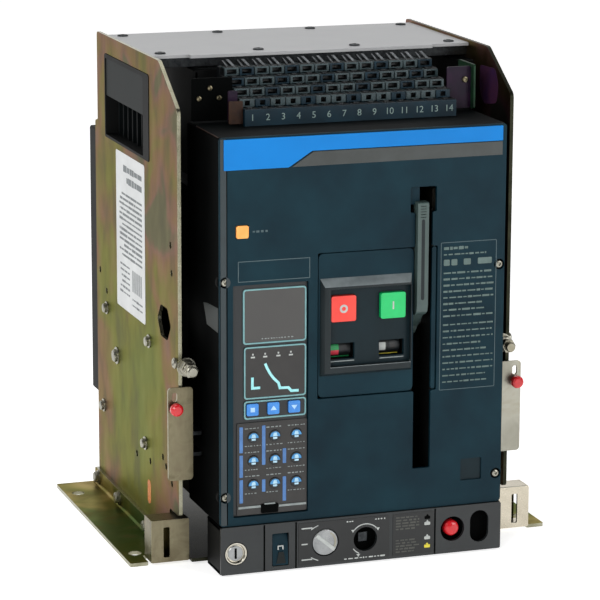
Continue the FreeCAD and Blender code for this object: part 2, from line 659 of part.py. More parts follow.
def corner_bracket(name, side):
    """Folded bracket at the cradle's front foot, with an upright slot."""
    body = new_body(name + "_body")
    low = corner_inner if side > 0 else -corner_outer
    high = corner_outer if side > 0 else -corner_inner
    pad(body, name + "_box", "y", corner_front, corner_front + corner_depth, rectangle(
        low, high, sheet_gauge, corner_height))
    pocket(body, name + "_hollow", "y", corner_front + corner_gauge,
           corner_front + corner_depth + 1, rectangle(
               low + corner_gauge, high - corner_gauge,
               sheet_gauge + corner_gauge, corner_height - corner_gauge))
    middle = (low + high) / 2
    pocket(body, name + "_slot", "y", corner_front - 1, corner_front + corner_gauge + 1, rectangle(
        middle - corner_slot / 2, middle + corner_slot / 2,
        sheet_gauge + corner_slot, corner_height - corner_slot))
    return subpart(body, name)


for side, word in ((-1, "left"), (1, "right")):
    side_plate("side_plate_" + word, side)
    foot_bracket("foot_bracket_" + word, side)
    corner_bracket("corner_bracket_" + word, side)

# ---- cradle: floor, top plate and cross bars ---------------------------------------------

floor_front = panel_front + panel_depth + sheet_gauge
floor_notch = corner_front + corner_depth + sheet_gauge
tongue_half = corner_inner - button_gap
floor = box("floor_sheet", (-plate_inside, plate_inside), (floor_notch, cradle_rear),
            (sheet_gauge, sheet_gauge * 2))
tongue = box("floor_tongue", (-tongue_half, tongue_half), (floor_front, floor_notch),
             (sheet_gauge, sheet_gauge * 2))
bearing_half = screw_radius * 2
bearing = box("screw_bearing", (crank_x - bearing_half, crank_x + bearing_half),
              (screw_rear - bearing_half * 2, screw_rear - bearing_half),
              (sheet_gauge, crank_z + bearing_half))
bearing_bore = rod("screw_bearing_bore", "y", (crank_x, crank_z), screw_radius + running_gap,
                   (screw_rear - bearing_half * 2 - 1, screw_rear - bearing_half + 1))
floor_whole = fuse("floor_and_bearing", floor, tongue, bearing)
subpart(cut("floor_with_bearing", floor_whole, bearing_bore), "floor_plate")

lid = new_body("lid_body")
pad(lid, "lid_sheet", "z", lid_level - lid_gauge, lid_level, polygon(
    (-plate_inside, lid_rear),
    (-plate_inside, lid_front),
    (-lid_tab_half, lid_front),
    (-lid_tab_half, lid_front - lid_tab),
    (lid_tab_half, lid_front - lid_tab),
    (lid_tab_half, lid_front),
    (plate_inside, lid_front),
    (plate_inside, lid_rear),
))
subpart(lid, "top_cover_plate")

lid_under = lid_level - lid_gauge
front_bar = lid_front + lid_tab
rear_bar = lid_rear - lid_tab - bar_depth
bars = []
for word, start in (("front", front_bar), ("rear", rear_bar)):
    bars.append(box(word + "_bar", (-plate_inside, plate_inside), (start, start + bar_depth),
                    (lid_under - bar_height, lid_under)))
subpart(group("cross_bars", *bars), "top_cross_bars")

fasteners = []
for start in (front_bar, rear_bar):
    for across in (-lid_screw_side, -lid_screw_mid, lid_screw_mid, lid_screw_side):
        fasteners.append(rod("lid_screw", "z", (across, start + bar_depth / 2), lid_head_radius,
                             (lid_level, lid_level + lid_head_height)))

# ---- cradle: rear insulating wall and power terminals ---------------------------------------

wall = new_body("rear_wall_body")
pad(wall, "rear_wall_block", "x", -wall_half, wall_half, polygon(
    (cradle_rear, wall_low),
    (cradle_rear, wall_high),
    (cradle_rear + wall_depth, wall_high),
    (cradle_rear + wall_depth, wall_low + wall_slope),
    (cradle_rear + wall_depth - wall_slope, wall_low),
))
for pole in POLES:
    for word, level in (("upper", upper_level), ("lower", lower_level)):
        pocket(wall, "rear_wall_%s_%d" % (word, pole + 1), "y", cradle_rear - 1,
               cradle_rear + wall_depth + 1, rectangle(
                   pole_pitch * pole - copper_width / 2 - stab_gap,
                   pole_pitch * pole + copper_width / 2 + stab_gap,
                   level - copper_gauge / 2 - stab_gap,
                   level + copper_gauge / 2 + stab_gap))
subpart(wall, "rear_housing")


def terminal_bar(name, pole, level):
    """Copper bar through the rear wall, with two bolt holes in its tail."""
    middle = pole_pitch * pole
    low = level - copper_gauge / 2
    high = level + copper_gauge / 2
    bar = box(name, (middle - copper_width / 2, middle + copper_width / 2),
              (copper_front, copper_rear), (low, high))
    holes = []
    for side in (-1, 1):
        across = (middle + copper_hole_pitch / 2 * side, copper_rear - copper_hole_end)
        holes.append(rod(name + "_hole", "z", across, copper_hole, (low - 1, high + 1)))
    return cut(name + "_drilled", bar, *holes)


terminal_bars = []
for word, level in (("upper", upper_level), ("lower", lower_level)):
    for pole in POLES:
        terminal_bars.append(terminal_bar("%s_terminal_%d" % (word, pole + 1), pole, level))
subpart(group("terminal_bars", *terminal_bars), "power_terminals")

# ---- cradle: bolts, rivets and stop studs, with the screws of the top plate ------------------

rivet_radius = knob_radius
rivet_height = sheet_gauge * 0.6
RIVET_PLACES = ((88, 165.7), (-42, 166), (57, 131), (101, 76.7), (-29, 76.7))
FOOT_BOLT_PLACES = (-64, -42, 44, 111)
for side in (-1, 1):
    face = half_width * side
    foot_face = (half_width + sheet_gauge) * side

    def outward(start, length):
        ends = (start, start + length * side)
        return ends if side > 0 else (ends[1], ends[0])

    for along, level in RIVET_PLACES:
        fasteners.append(rod("plate_rivet", "x", (deep * along, tall * level), rivet_radius,
                             outward(face, rivet_height)))
    for along in FOOT_BOLT_PLACES:
        fasteners.append(hexagon("foot_bolt", "x", (deep * along, foot_rise - rivet_radius - 1),
                                 rivet_radius, outward(foot_face, sheet_gauge)))
    fasteners.append(hexagon("stop_stud", "y", (stud_x * side, stud_z), stud_radius,
                             (cradle_front - stud_length, cradle_front)))
subpart(group("cradle_fasteners", *fasteners), "frame_bolts")

# ---- cradle: racking panel ------------------------------------------------------------------

panel_rear = panel_front + panel_depth
panel = new_body("racking_panel_body")
pad(panel, "panel_block", "y", panel_front, panel_rear,
    rectangle(-panel_half, panel_half, panel_low, panel_high))
pocket(panel, "panel_hollow", "y", panel_front + panel_wall, panel_rear + 1, rectangle(
    -panel_half + panel_wall, panel_half - panel_wall,
    panel_low + panel_wall, panel_high - panel_wall))
panel_cut = (panel_front - 1, panel_front + panel_wall + 1)
pocket(panel, "panel_round_holes", "y", *panel_cut,
       disc(lock_x, lock_z, lock_radius + running_gap),
       disc(pointer_x, pointer_z, pointer_radius + running_gap),
       disc(crank_x, crank_z, crank_radius),
       disc(release_x, release_z, release_well))
pocket(panel, "panel_long_holes", "y", *panel_cut,
       rectangle(tab_x - tab_width / 2 - button_gap, tab_x + tab_width / 2 + button_gap,
                 tab_low - button_gap, tab_high + button_gap),
       rectangle(store_x - store_width / 2, store_x + store_width / 2,
                 store_low + store_width / 2, store_high - store_width / 2))
pocket(panel, "panel_store_low", "y", *panel_cut,
       disc(store_x, store_low + store_width / 2, store_width / 2))
pocket(panel, "panel_store_high", "y", *panel_cut,
       disc(store_x, store_high - store_width / 2, store_width / 2))
subpart(panel, "racking_panel")

# ---- racking gear ------------------------------------------------------------------------------

barrel_front = panel_front + panel_wall / 2
barrel = rod("lock_cylinder", "y", (lock_x, lock_z), lock_radius, (barrel_front, panel_rear))
keyway = box("keyway", (lock_x - 1, lock_x + 1), (barrel_front - 1, barrel_front + panel_wall * 3),
             (lock_z - lock_radius / 2, lock_z + lock_radius / 2))
subpart(cut("lock_with_keyway", barrel, keyway), "key_lock_barrel")

tab = box("tab_blade", (tab_x - tab_width / 2, tab_x + tab_width / 2),
          (panel_front, panel_rear), (tab_low, tab_high))
tab_hole = rod("tab_hole", "x", (panel_front + panel_depth / 2, (tab_low + tab_high) / 2),
               tab_width / 3, (tab_x - tab_width, tab_x + tab_width))
subpart(cut("tab_with_hole", tab, tab_hole), "padlock_tab")

subpart(rod("pointer_disc", "y", (pointer_x, pointer_z), pointer_radius,
            (panel_front, panel_front + panel_wall * 3)), "position_pointer")

release_cap = rod("release_cap", "y", (release_x, release_z), release_radius,
                  (panel_front, panel_front + panel_depth / 2))
subpart(release_cap, "racking_release_button")

thread = rod("racking_thread", "y", (crank_x, crank_z), screw_radius,
             (panel_front + panel_depth / 2, screw_rear))
square = box("crank_square", (crank_x - socket_square / 2, crank_x + socket_square / 2),
             (panel_front + panel_wall * 2, panel_front + panel_depth / 2),
             (crank_z - socket_square / 2, crank_z + socket_square / 2))
subpart(fuse("racking_screw_whole", thread, square), "racking_screw")

nut = box("carriage_block", (-carriage_half, carriage_half),
          (carriage_front, carriage_front + carriage_depth), (carriage_low, carriage_high))
nut_bore = rod("carriage_bore", "y", (crank_x, crank_z), screw_radius + running_gap,
               (carriage_front - 1, carriage_front + carriage_depth + 1))
subpart(cut("carriage_with_bore", nut, nut_bore), "racking_carriage")

# ---- draw-out rails -----------------------------------------------------------------------------

rail_gap = button_gap


def rail(word, side):
    """Channel inside the side plate, with a front plate to pull and a latch knob."""
    web_out = plate_inside - rail_gap
    web_in = web_out - sheet_gauge

    def span(inner, outer):
        return (inner, outer) if side > 0 else (-outer, -inner)

    front = cradle_front - rail_gap * 3
    web = box("rail_web", span(web_in, web_out), (front, rail_rear), (rail_low, rail_high))
    shelf = box("rail_shelf", span(rail_inner, web_in), (cradle_front, rail_rear),
                (rail_low, rail_low + sheet_gauge))
    roof = box("rail_roof", span(rail_inner, web_in), (cradle_front, rail_rear),
               (rail_high - sheet_gauge, rail_high))
    grip = box("rail_grip", span(grip_inner, grip_outer), (front - grip_gauge, front),
               (grip_low, grip_high))
    bore = rod("rail_knob_bore", "y", (knob_x * side, knob_z), knob_radius / 2 + running_gap,
               (front - grip_gauge - 1, front + 1))
    whole = fuse("rail_" + word + "_channel", web, shelf, roof, grip)
    subpart(cut("rail_" + word + "_drilled", whole, bore), "rail_" + word)
    face = front - grip_gauge
    cap = rod("latch_cap", "y", (knob_x * side, knob_z), knob_radius,
              (face - knob_length, face - sheet_gauge))
    stem = rod("latch_stem", "y", (knob_x * side, knob_z), knob_radius / 2,
               (face - sheet_gauge, front))
    subpart(fuse("rail_latch_" + word + "_whole", cap, stem), "rail_latch_" + word)


rail("left", -1)
rail("right", 1)

# ---- breaker: front cover ------------------------------------------------------------------------

cover = new_body("front_cover_body")
cover_block = pad(cover, "cover_block", "y", cover_front, cover_rear,
                  rectangle(-cover_half, cover_half, cover_low, cover_high))
doc.recompute()
front_edges = edges_where(cover_block, lambda start, end: near(start.y + end.y, cover_front * 2))
bevel = cover.newObject("PartDesign::Chamfer", "cover_front_bevel")
bevel.Base = (cover_block, front_edges)
bind(bevel, "Size", cover_chamfer)
pocket(cover, "cover_hollow", "y", cover_front + cover_wall, cover_rear + 1, rectangle(
    -cover_half + cover_wall, cover_half - cover_wall,
    cover_low + cover_wall, cover_high - cover_wall))
cover_cut = (cover_front - 1, cover_front + cover_wall + 1)
pocket(cover, "cover_trip_opening", "y", *cover_cut,
       rectangle(trip_left, trip_right, trip_low, trip_high))
pocket(cover, "cover_module_opening", "y", *cover_cut,
       rectangle(module_left, module_right, module_low, module_high))
pocket(cover, "cover_slot_above", "y", *cover_cut,
       rectangle(slot_left, slot_right, module_high - 1, slot_high))
pocket(cover, "cover_slot_below", "y", *cover_cut,
       rectangle(slot_left, slot_right, slot_low, module_low + 1))
reset_hole = reset_side / 2 + button_gap
pocket(cover, "cover_reset_hole", "y", *cover_cut,
       rectangle(reset_x - reset_hole, reset_x + reset_hole,
                 reset_z - reset_hole, reset_z + reset_hole))
pocket(cover, "cover_blind_recess", "y", cover_front - 1, cover_front + cover_wall / 2,
       rectangle(vent_x - vent_side / 2, vent_x + vent_side / 2,
                 vent_z - vent_side / 2, vent_z + vent_side / 2))
subpart(cover, "front_cover")

fascia = new_body("fascia_body")
pad(fascia, "fascia_sheet", "y", cover_front - fascia_gauge, cover_front, polygon(
    (-fascia_side, cover_high - cover_chamfer),
    (-fascia_side, fascia_deep),
    (fascia_deep_end, fascia_deep),
    (fascia_slope_end, fascia_low),
    (fascia_side, fascia_low),
    (fascia_side, cover_high - cover_chamfer),
))
subpart(fascia, "fascia_strip")

heads = []
for side in (-1, 1):
    for level in (cover_screw_low, cover_screw_top):
        heads.append(rod("cover_screw", "y", (cover_screw_x * side, level), cover_head_radius,
                         (cover_front - fascia_gauge, cover_front)))
subpart(group("cover_screw_heads", *heads), "cover_screws")

# ---- breaker: button module with its buttons and flags ----------------------------------------

module = new_body("button_module_body")
module_face = cover_front + cover_wall / 3
pad(module, "module_block", "y", module_face, cover_front + module_depth, rectangle(
    module_left + module_gap, module_right - module_gap,
    module_low + module_gap, module_high - module_gap))
ridge_front = cover_front - ridge_proud
pad(module, "module_ridge", "y", ridge_front, module_face + 1,
    rectangle(ridge_left, ridge_right, ridge_low, ridge_high))
pocket(module, "module_well", "y", ridge_front - 1, module_face, rectangle(
    ridge_left + ridge_wall, ridge_right - ridge_wall,
    ridge_low + ridge_wall, ridge_high - ridge_wall))
module_cut = (ridge_front - 1, cover_front + module_depth + 1)
pocket(module, "module_lever_slot", "y", *module_cut,
       rectangle(slot_left, slot_right, module_low - 1, module_high + 1))
hole = button_side / 2 + button_gap
flag_half_width = flag_window_width / 2
flag_half_height = flag_window_height / 2
for word, across in (("off", off_x), ("on", on_x)):
    pocket(module, "module_%s_hole" % word, "y", *module_cut, rectangle(
        across - hole, across + hole, button_z - hole, button_z + hole))
    pocket(module, "module_%s_window" % word, "y", *module_cut, rectangle(
        across - flag_half_width, across + flag_half_width,
        flag_z - flag_half_height, flag_z + flag_half_height))
subpart(module, "button_module")


def push_button(name, x, z, side, front, depth):
    """Square cap with softened front edges."""
    body = new_body(name + "_body")
    cap = pad(body, name + "_cap", "y", front, front + depth,
              rectangle(x - side / 2, x + side / 2, z - side / 2, z + side / 2))
    round_edges(body, name + "_rounding", cap, side / 14,
                lambda start, end: near(start.y + end.y, size(front) * 2))
    return subpart(body, name)


push_button("off_button", off_x, button_z, button_side, button_front, button_depth)
push_button("on_button", on_x, button_z, button_side, button_front, button_depth)
push_button("reset_button", reset_x, reset_z, reset_side, cover_front - fascia_gauge,
            button_depth)

for name, across in (("open_closed_flag", off_x), ("spring_charged_flag", on_x)):
    subpart(rod(name + "_drum", "x", (flag_y, flag_z), flag_radius,
                (across - flag_width / 2, across + flag_width / 2)), name)

# ---- breaker: charging lever, cam shaft and mechanism frame -----------------------------------

lever = new_body("charging_lever_body")
lever_back = lever_front + lever_gauge
lever_bar = pad(lever, "lever_bar", "x", lever_left, lever_right, polygon(
    (lever_front, lever_high),
    (lever_front, lever_low),
    (cam_y, cam_z - lever_hub / 2),
    (cam_y, cam_z + lever_hub / 2),
    (lever_back, lever_low + lever_gauge),
    (lever_back, lever_high),
))
pad(lever, "lever_hub", "x", lever_left, lever_right, disc(cam_y, cam_z, lever_hub))
pocket(lever, "lever_bore", "x", lever_left - 1, lever_right + 1,
       disc(cam_y, cam_z, cam_radius + running_gap))
subpart(lever, "charging_lever")

shaft = rod("cam_spindle", "x", (cam_y, cam_z), cam_radius, (plate_left, plate_right + sheet_gauge))
cam = rod("closing_cam", "x", (cam_y - cam_offset, cam_z), cam_lift,
          (spring_x - spring_wire, spring_x + spring_wire))
ratchet = rod("ratchet_wheel", "x", (cam_y, cam_z), cam_lift,
              (lever_left - button_gap - spring_wire, lever_left - button_gap))
subpart(fuse("cam_shaft_whole", shaft, cam, ratchet), "cam_shaft")

frame_parts = []
for word, start in (("left", plate_left), ("right", plate_right)):
    frame_parts.append(box("mechanism_" + word, (start, start + sheet_gauge),
                           (plate_front, plate_rear), (plate_low, plate_high)))
for level in (plate_low + lever_hub, plate_high - lever_hub):
    frame_parts.append(rod("mechanism_spacer", "x", (plate_rear - lever_hub / 2, level),
                           cam_radius / 2, (plate_left, plate_right + sheet_gauge)))
mechanism = fuse("mechanism_plates", *frame_parts)
mechanism_bore = rod("mechanism_bore", "x", (cam_y, cam_z), cam_radius + running_gap,
                     (plate_left - 1, plate_right + sheet_gauge + 1))
subpart(cut("mechanism_drilled", mechanism, mechanism_bore), "mechanism_frame")

coil = rod("spring_outside", "z", (spring_x, spring_y), spring_radius, (spring_low, spring_high))
coil_bore = rod("spring_inside", "z", (spring_x, spring_y), spring_radius - spring_wire,
                (spring_low - 1, spring_high + 1))
subpart(cut("closing_spring_coil", coil, coil_bore), "closing_spring")

# ---- breaker: trip unit ---------------------------------------------------------------------

trip = new_body("trip_unit_body")
pad(trip, "trip_case", "y", trip_front, trip_rear, rectangle(
    trip_left + trip_gap, trip_right - trip_gap, trip_low + trip_gap, trip_high - trip_gap))
pocket(trip, "trip_screen_seat", "y", trip_front - 1, trip_front + screen_gauge,
       rectangle(screen_left, screen_right, screen_low, screen_high))
key_hole = key_side / 2 + button_gap / 2
key_bed = trip_front + key_depth
pocket(trip, "trip_key_holes", "y", trip_front - 1, key_bed + 1, *[
    rectangle(key_middle + key_pitch * step - key_hole, key_middle + key_pitch * step + key_hole,
              key_z - key_hole, key_z + key_hole) for step in (-1, 0, 1)])
dial_bed = trip_front - dial_proud + dial_depth
dial_places = []
for row in (1, 0, -1):
    for column in (-1, 0, 1):
        dial_places.append((dial_middle_x + dial_pitch_x * column,
                            dial_middle_z + dial_pitch_z * row))
pocket(trip, "trip_dial_holes", "y", trip_front - 1, dial_bed + button_gap, *[
    disc(x, z, dial_radius + running_gap) for x, z in dial_places])
subpart(trip, "trip_unit")

subpart(box("screen_pane", (screen_left, screen_right), (trip_front, trip_front + screen_gauge),
            (screen_low, screen_high)), "display_window")

for step, word in ((-1, "left"), (0, "middle"), (1, "right")):
    across = key_middle + key_pitch * step
    subpart(box("key_%s_cap" % word, (across - key_side / 2, across + key_side / 2),
                (trip_front - dial_proud, trip_front - dial_proud + key_depth),
                (key_z - key_side / 2, key_z + key_side / 2)), "key_" + word)

for number, (x, z) in enumerate(dial_places, 1):
    dial = rod("dial_%d_drum" % number, "y", (x, z), dial_radius,
               (trip_front - dial_proud, dial_bed))
    groove = box("dial_%d_groove" % number, (x - dial_radius, x + dial_radius),
                 (trip_front - dial_proud * 2, trip_front - dial_proud / 2),
                 (z - dial_radius / 7, z + dial_radius / 7))
    subpart(cut("dial_%d_slotted" % number, dial, groove), "setting_dial_%d" % number)

# ---- breaker: secondary terminal block -----------------------------------------------------------

block = new_body("terminal_block_body")
block_half = block_pitch * BLOCK_COLUMNS / 2 + block_end
stairs = [(block_front, cover_high), (block_front, cover_high + block_strip)]
for step in range(1, BLOCK_STEPS + 1):
    back = block_front + block_run * step
    stairs.append((back, cover_high + block_strip + block_rise * (step - 1)))
    stairs.append((back, cover_high + block_strip + block_rise * step))
block_rear = block_front + block_run * (BLOCK_STEPS + 1)
stairs.append((block_rear, cover_high + block_strip + block_rise * BLOCK_STEPS))
stairs.append((block_rear, cover_high))
pad(block, "block_stairs", "x", block_middle - block_half, block_middle + block_half,
    polygon(*stairs))
first_column = block_middle - block_pitch * (BLOCK_COLUMNS - 1) / 2
for step in range(BLOCK_STEPS + 1):
    riser_front = block_front + block_run * step
    riser_top = cover_high + block_strip + block_rise * step
    middle = riser_top - block_rise / 2
    entries = pocket(block, "block_entry_%d" % step, "y", riser_front - 1,
                     riser_front + entry_depth, rectangle(
                         first_column - entry_width / 2, first_column + entry_width / 2,
                         middle - entry_height / 2, middle + entry_height / 2))
    row = block.newObject("PartDesign::LinearPattern", "block_row_%d" % step)
    row.Originals = [entries]
    row.Direction = (entries.Profile[0], ["H_Axis"])
    bind(row, "Length", block_pitch * (BLOCK_COLUMNS - 1))
    row.Occurrences = BLOCK_COLUMNS
    block.Tip = row
subpart(block, "terminal_block")

clips = []
clip_floor = cover_high + block_strip + block_rise * BLOCK_STEPS
for column in range(BLOCK_COLUMNS):
    across = first_column + block_pitch * column
    clips.append(box("clip_%d" % (column + 1), (across - clip_width / 2, across + clip_width / 2),
                     (block_rear - block_run + 1, block_rear), (clip_floor, clip_floor + clip_height)))
subpart(group("block_clips", *clips), "terminal_clips")

# ---- breaker: pole housing -------------------------------------------------------------------------

poles = new_body("pole_housing_body")
pad(poles, "pole_block", "y", body_front, body_rear,
    rectangle(-body_half, body_half, body_low, body_high))
lug_low = rail_low + sheet_gauge + lug_gap
for number, start in enumerate((chamber_front, chamber_rear - lug_length)):
    pad(poles, "support_lugs_%d" % number, "x", -lug_half, lug_half, rectangle(
        start, start + lug_length, lug_low, lug_low + lug_height))
pocket(poles, "pole_chambers", "z", chamber_low, body_high + 1, *[
    rectangle(pole_pitch * pole - chamber_half, pole_pitch * pole + chamber_half,
              chamber_front, chamber_rear) for pole in POLES])
openings = []
for pole in POLES:
    for level in (upper_level, lower_level):
        openings.append(rectangle(pole_pitch * pole - copper_width / 2 - stab_gap,
                                  pole_pitch * pole + copper_width / 2 + stab_gap,
                                  level - copper_gauge / 2 - stab_gap,
                                  level + copper_gauge / 2 + stab_gap))
pocket(poles, "pole_bar_openings", "y", chamber_rear - 1, body_rear + 1, *openings)
pocket(poles, "pole_shaft_bore", "x", -body_half - 1, body_half + 1,
       disc(shaft_y, shaft_z, shaft_radius + running_gap))
subpart(poles, "pole_housing")

# ---- breaker: contacts, fingers, transformers and arc chutes --------------------------------------


def pole_box(name, pole, half, y_span, z_span):
    middle = pole_pitch * pole
    return box("%s_%d" % (name, pole + 1), (middle - half, middle + half), y_span, z_span)


copper_half = copper_gauge / 2
contact_front = shaft_y + arm_gauge / 2 + contact_gap
inner_bars = []
jaws = []
for pole in POLES:
    for level, start in ((upper_level, contact_front), (lower_level, lower_stab_front)):
        inner_bars.append(pole_box("inner_bar", pole, copper_width / 2, (start, stab_rear),
                                   (level - copper_half, level + copper_half)))
    for level in (upper_level, lower_level):
        for side in (-1, 1):
            near_face = level + copper_half * side
            far_face = near_face + (jaw_gauge + stab_gap) * side
            span = (near_face, far_face) if side > 0 else (far_face, near_face)
            jaw = pole_box("jaw", pole, jaw_width / 2, (body_rear, jaw_rear), span)
            lip = (near_face - stab_gap * side, near_face + stab_gap * side)
            lip = lip if side > 0 else (lip[1], lip[0])
            relief = pole_box("jaw_relief", pole, copper_width, (stab_rear, jaw_rear + 1), lip)
            jaws.append(cut("jaw_relieved", jaw, relief))
subpart(group("inner_bars", *inner_bars), "fixed_contacts")
subpart(group("contact_fingers", *jaws), "finger_clusters")

shaft_span = (-body_half, body_half)
spindle = rod("main_spindle", "x", (shaft_y, shaft_z), shaft_radius, shaft_span)
subpart(spindle, "main_shaft")

arms = []
for pole in POLES:
    middle = pole_pitch * pole
    blade = box("arm_blade", (middle - arm_width / 2, middle + arm_width / 2),
                (-arm_gauge / 2, arm_gauge / 2), (0, arm_reach))
    hub = rod("arm_hub", "x", (0, 0), arm_hub, (middle - arm_width / 2, middle + arm_width / 2))
    bore = rod("arm_bore", "x", (0, 0), shaft_radius, (middle - arm_width, middle + arm_width))
    arms.append(cut("contact_arm", fuse("arm_and_hub", blade, hub), bore))
arm_group = group("contact_arms", *arms)
arm_group.Placement = Placement(Vector(), Rotation(Vector(1, 0, 0), arm_open))
bind(arm_group, "Placement.Base.y", shaft_y)
bind(arm_group, "Placement.Base.z", shaft_z)
subpart(arm_group, "moving_contacts")

transformers = []
for pole in POLES:
    core = pole_box("ct_core", pole, chamber_half - 1, (ct_front, ct_front + ct_depth),
                    (lower_level - ct_half, lower_level + ct_half))
    window = pole_box("ct_window", pole, copper_width / 2 + stab_gap,
                      (ct_front - 1, ct_front + ct_depth + 1),
                      (lower_level - copper_half - stab_gap, lower_level + copper_half + stab_gap))
    transformers.append(cut("ct_ring", core, window))
subpart(group("ct_rings", *transformers), "current_transformers")

chutes = []
splitters = []
chute_low = body_high
for pole in POLES:
    outside = pole_box("chute_shell", pole, chute_half, (chute_front, chute_rear),
                       (chute_low, chute_high))
    inside = pole_box("chute_inside", pole, chute_half - chute_wall,
                      (chute_front + chute_wall, chute_rear - chute_wall),
                      (chute_low - 1, chute_high - chute_wall))
    chutes.append(cut("chute_hollow", outside, inside))
    for number in range(SPLITTERS):
        start = chute_front + chute_wall + splitter_pitch * (number + 1)
        splitters.append(pole_box("splitter", pole, chute_half - chute_wall,
                                  (start, start + splitter_gauge),
                                  (chute_low + chute_wall, chute_high - chute_wall)))
subpart(group("arc_chute_shells", *chutes), "arc_chutes")
subpart(group("arc_splitters", *splitters), "arc_splitter_plates")

# ---- checks and files --------------------------------------------------------------------------------

doc.recompute()
faults = []
for thing in doc.Objects:
    if "Invalid" in thing.State or "Error" in thing.State:
        faults.append("%s is %s" % (thing.Name, thing.State))
for thing in subparts:
    shape = thing.Shape
    if shape.isNull() or not shape.isValid() or not shape.Solids:
        faults.append("%s has no valid solid" % thing.Label)
if faults:
    raise RuntimeError("; ".join(faults))

os.makedirs("parts", exist_ok=True)
for thing in subparts:
    thing.Shape.exportStep("parts/%s.step" % thing.Label)
print(len(subparts), "sub-parts written")
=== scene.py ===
import json
import math
import random

import bmesh
import bpy
from mathutils import Matrix, Vector

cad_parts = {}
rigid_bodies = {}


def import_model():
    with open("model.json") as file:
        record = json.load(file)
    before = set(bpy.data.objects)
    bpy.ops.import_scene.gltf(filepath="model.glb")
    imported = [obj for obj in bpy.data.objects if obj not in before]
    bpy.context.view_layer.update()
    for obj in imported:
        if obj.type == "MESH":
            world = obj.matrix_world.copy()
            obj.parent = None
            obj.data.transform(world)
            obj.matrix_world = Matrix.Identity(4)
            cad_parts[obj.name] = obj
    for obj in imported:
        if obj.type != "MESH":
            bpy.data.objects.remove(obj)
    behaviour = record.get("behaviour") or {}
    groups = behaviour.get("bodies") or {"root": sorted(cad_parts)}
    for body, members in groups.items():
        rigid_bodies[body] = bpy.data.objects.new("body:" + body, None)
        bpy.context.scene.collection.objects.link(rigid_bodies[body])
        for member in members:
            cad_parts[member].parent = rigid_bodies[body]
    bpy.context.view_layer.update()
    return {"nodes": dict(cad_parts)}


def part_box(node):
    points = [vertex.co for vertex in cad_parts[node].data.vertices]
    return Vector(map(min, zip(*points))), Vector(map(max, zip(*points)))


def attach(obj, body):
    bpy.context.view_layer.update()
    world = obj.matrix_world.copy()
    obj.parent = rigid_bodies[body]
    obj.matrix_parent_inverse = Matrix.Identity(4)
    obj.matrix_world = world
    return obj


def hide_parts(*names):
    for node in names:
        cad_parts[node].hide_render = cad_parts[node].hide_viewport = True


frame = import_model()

# Shapes are drawn in millimetres in the frame's own axes: X across the front, Y from the
# front to the back, Z up. A finished piece is turned to metres.
MM = 0.001
BEND = math.radians(30)
SMOOTH = math.radians(20)
chance = random.Random(7)

# ---- finishes ----


def linear(colour):
    """An sRGB hex colour as linear red, green, blue and a full alpha."""
    parts = [int(colour[at:at + 2], 16) / 255 for at in (0, 2, 4)]
    light = [c / 12.92 if c <= 0.04045 else ((c + 0.055) / 1.055) ** 2.4 for c in parts]
    return light + [1.0]


def add(tree, kind, settings=None, inputs=None):
    """Add a node, set its properties (stops are a colour ramp's), and set or link its inputs."""
    made = tree.nodes.new(kind)
    for name, value in (settings or {}).items():
        if name == "stops":
            for number, (place, colour) in enumerate(value):
                ramp = made.color_ramp.elements
                stop = ramp[number] if number < 2 else ramp.new(place)
                stop.position = place
                stop.color = linear(colour)
        else:
            setattr(made, name, value)
    for name, value in (inputs or {}).items():
        if isinstance(value, bpy.types.NodeSocket):
            tree.links.new(value, made.inputs[name])
        else:
            made.inputs[name].default_value = value
    return made


def start(name):
    """A new finish: the material, its tree, its shader, and its Object coordinates."""
    made = bpy.data.materials.new(name)
    made.use_nodes = True
    tree = made.node_tree
    place = add(tree, "ShaderNodeTexCoord").outputs["Object"]
    return made, tree, tree.nodes["Principled BSDF"], place


def per_metre(size):
    """How often a pattern of this size in millimetres repeats in a metre."""
    return 1 / (size * MM)


def moulded(name, colour, shade, rough=0.45, grain=0.9, relief=0.08, patch=30, coat=0.0,
            sheen=0.5):
    """Moulded plastic: spark-eroded grain as bump, and slow drifts between two shades."""
    made, tree, shader, place = start(name)
    drift = add(tree, "ShaderNodeTexNoise", None,
                {"Vector": place, "Scale": per_metre(patch), "Detail": 3.0, "Roughness": 0.6})
    tint = add(tree, "ShaderNodeValToRGB", {"stops": ((0.3, colour), (0.7, shade))},
               {"Fac": drift.outputs["Fac"]})
    grit = add(tree, "ShaderNodeTexNoise", None,
               {"Vector": place, "Scale": per_metre(grain), "Detail": 2.0})
    bump = add(tree, "ShaderNodeBump", None,
               {"Strength": relief, "Distance": 0.2 * MM, "Height": grit.outputs["Fac"]})
    gloss = add(tree, "ShaderNodeMapRange", None,
                {"Value": drift.outputs["Fac"], "To Min": rough - 0.05, "To Max": rough + 0.07})
    tree.links.new(tint.outputs["Color"], shader.inputs["Base Color"])
    tree.links.new(gloss.outputs["Result"], shader.inputs["Roughness"])
    tree.links.new(bump.outputs["Normal"], shader.inputs["Normal"])
    shader.inputs["IOR"].default_value = 1.5
    shader.inputs["Specular IOR Level"].default_value = sheen
    shader.inputs["Coat Weight"].default_value = coat
    shader.inputs["Coat Roughness"].default_value = 0.12
    return made


def printed(name, colour, shade, rough=0.45, patch=6):
    """Screen-printed ink: satin, with the faint mottle of a thin film."""
    return moulded(name, colour, shade, rough=rough, patch=patch)


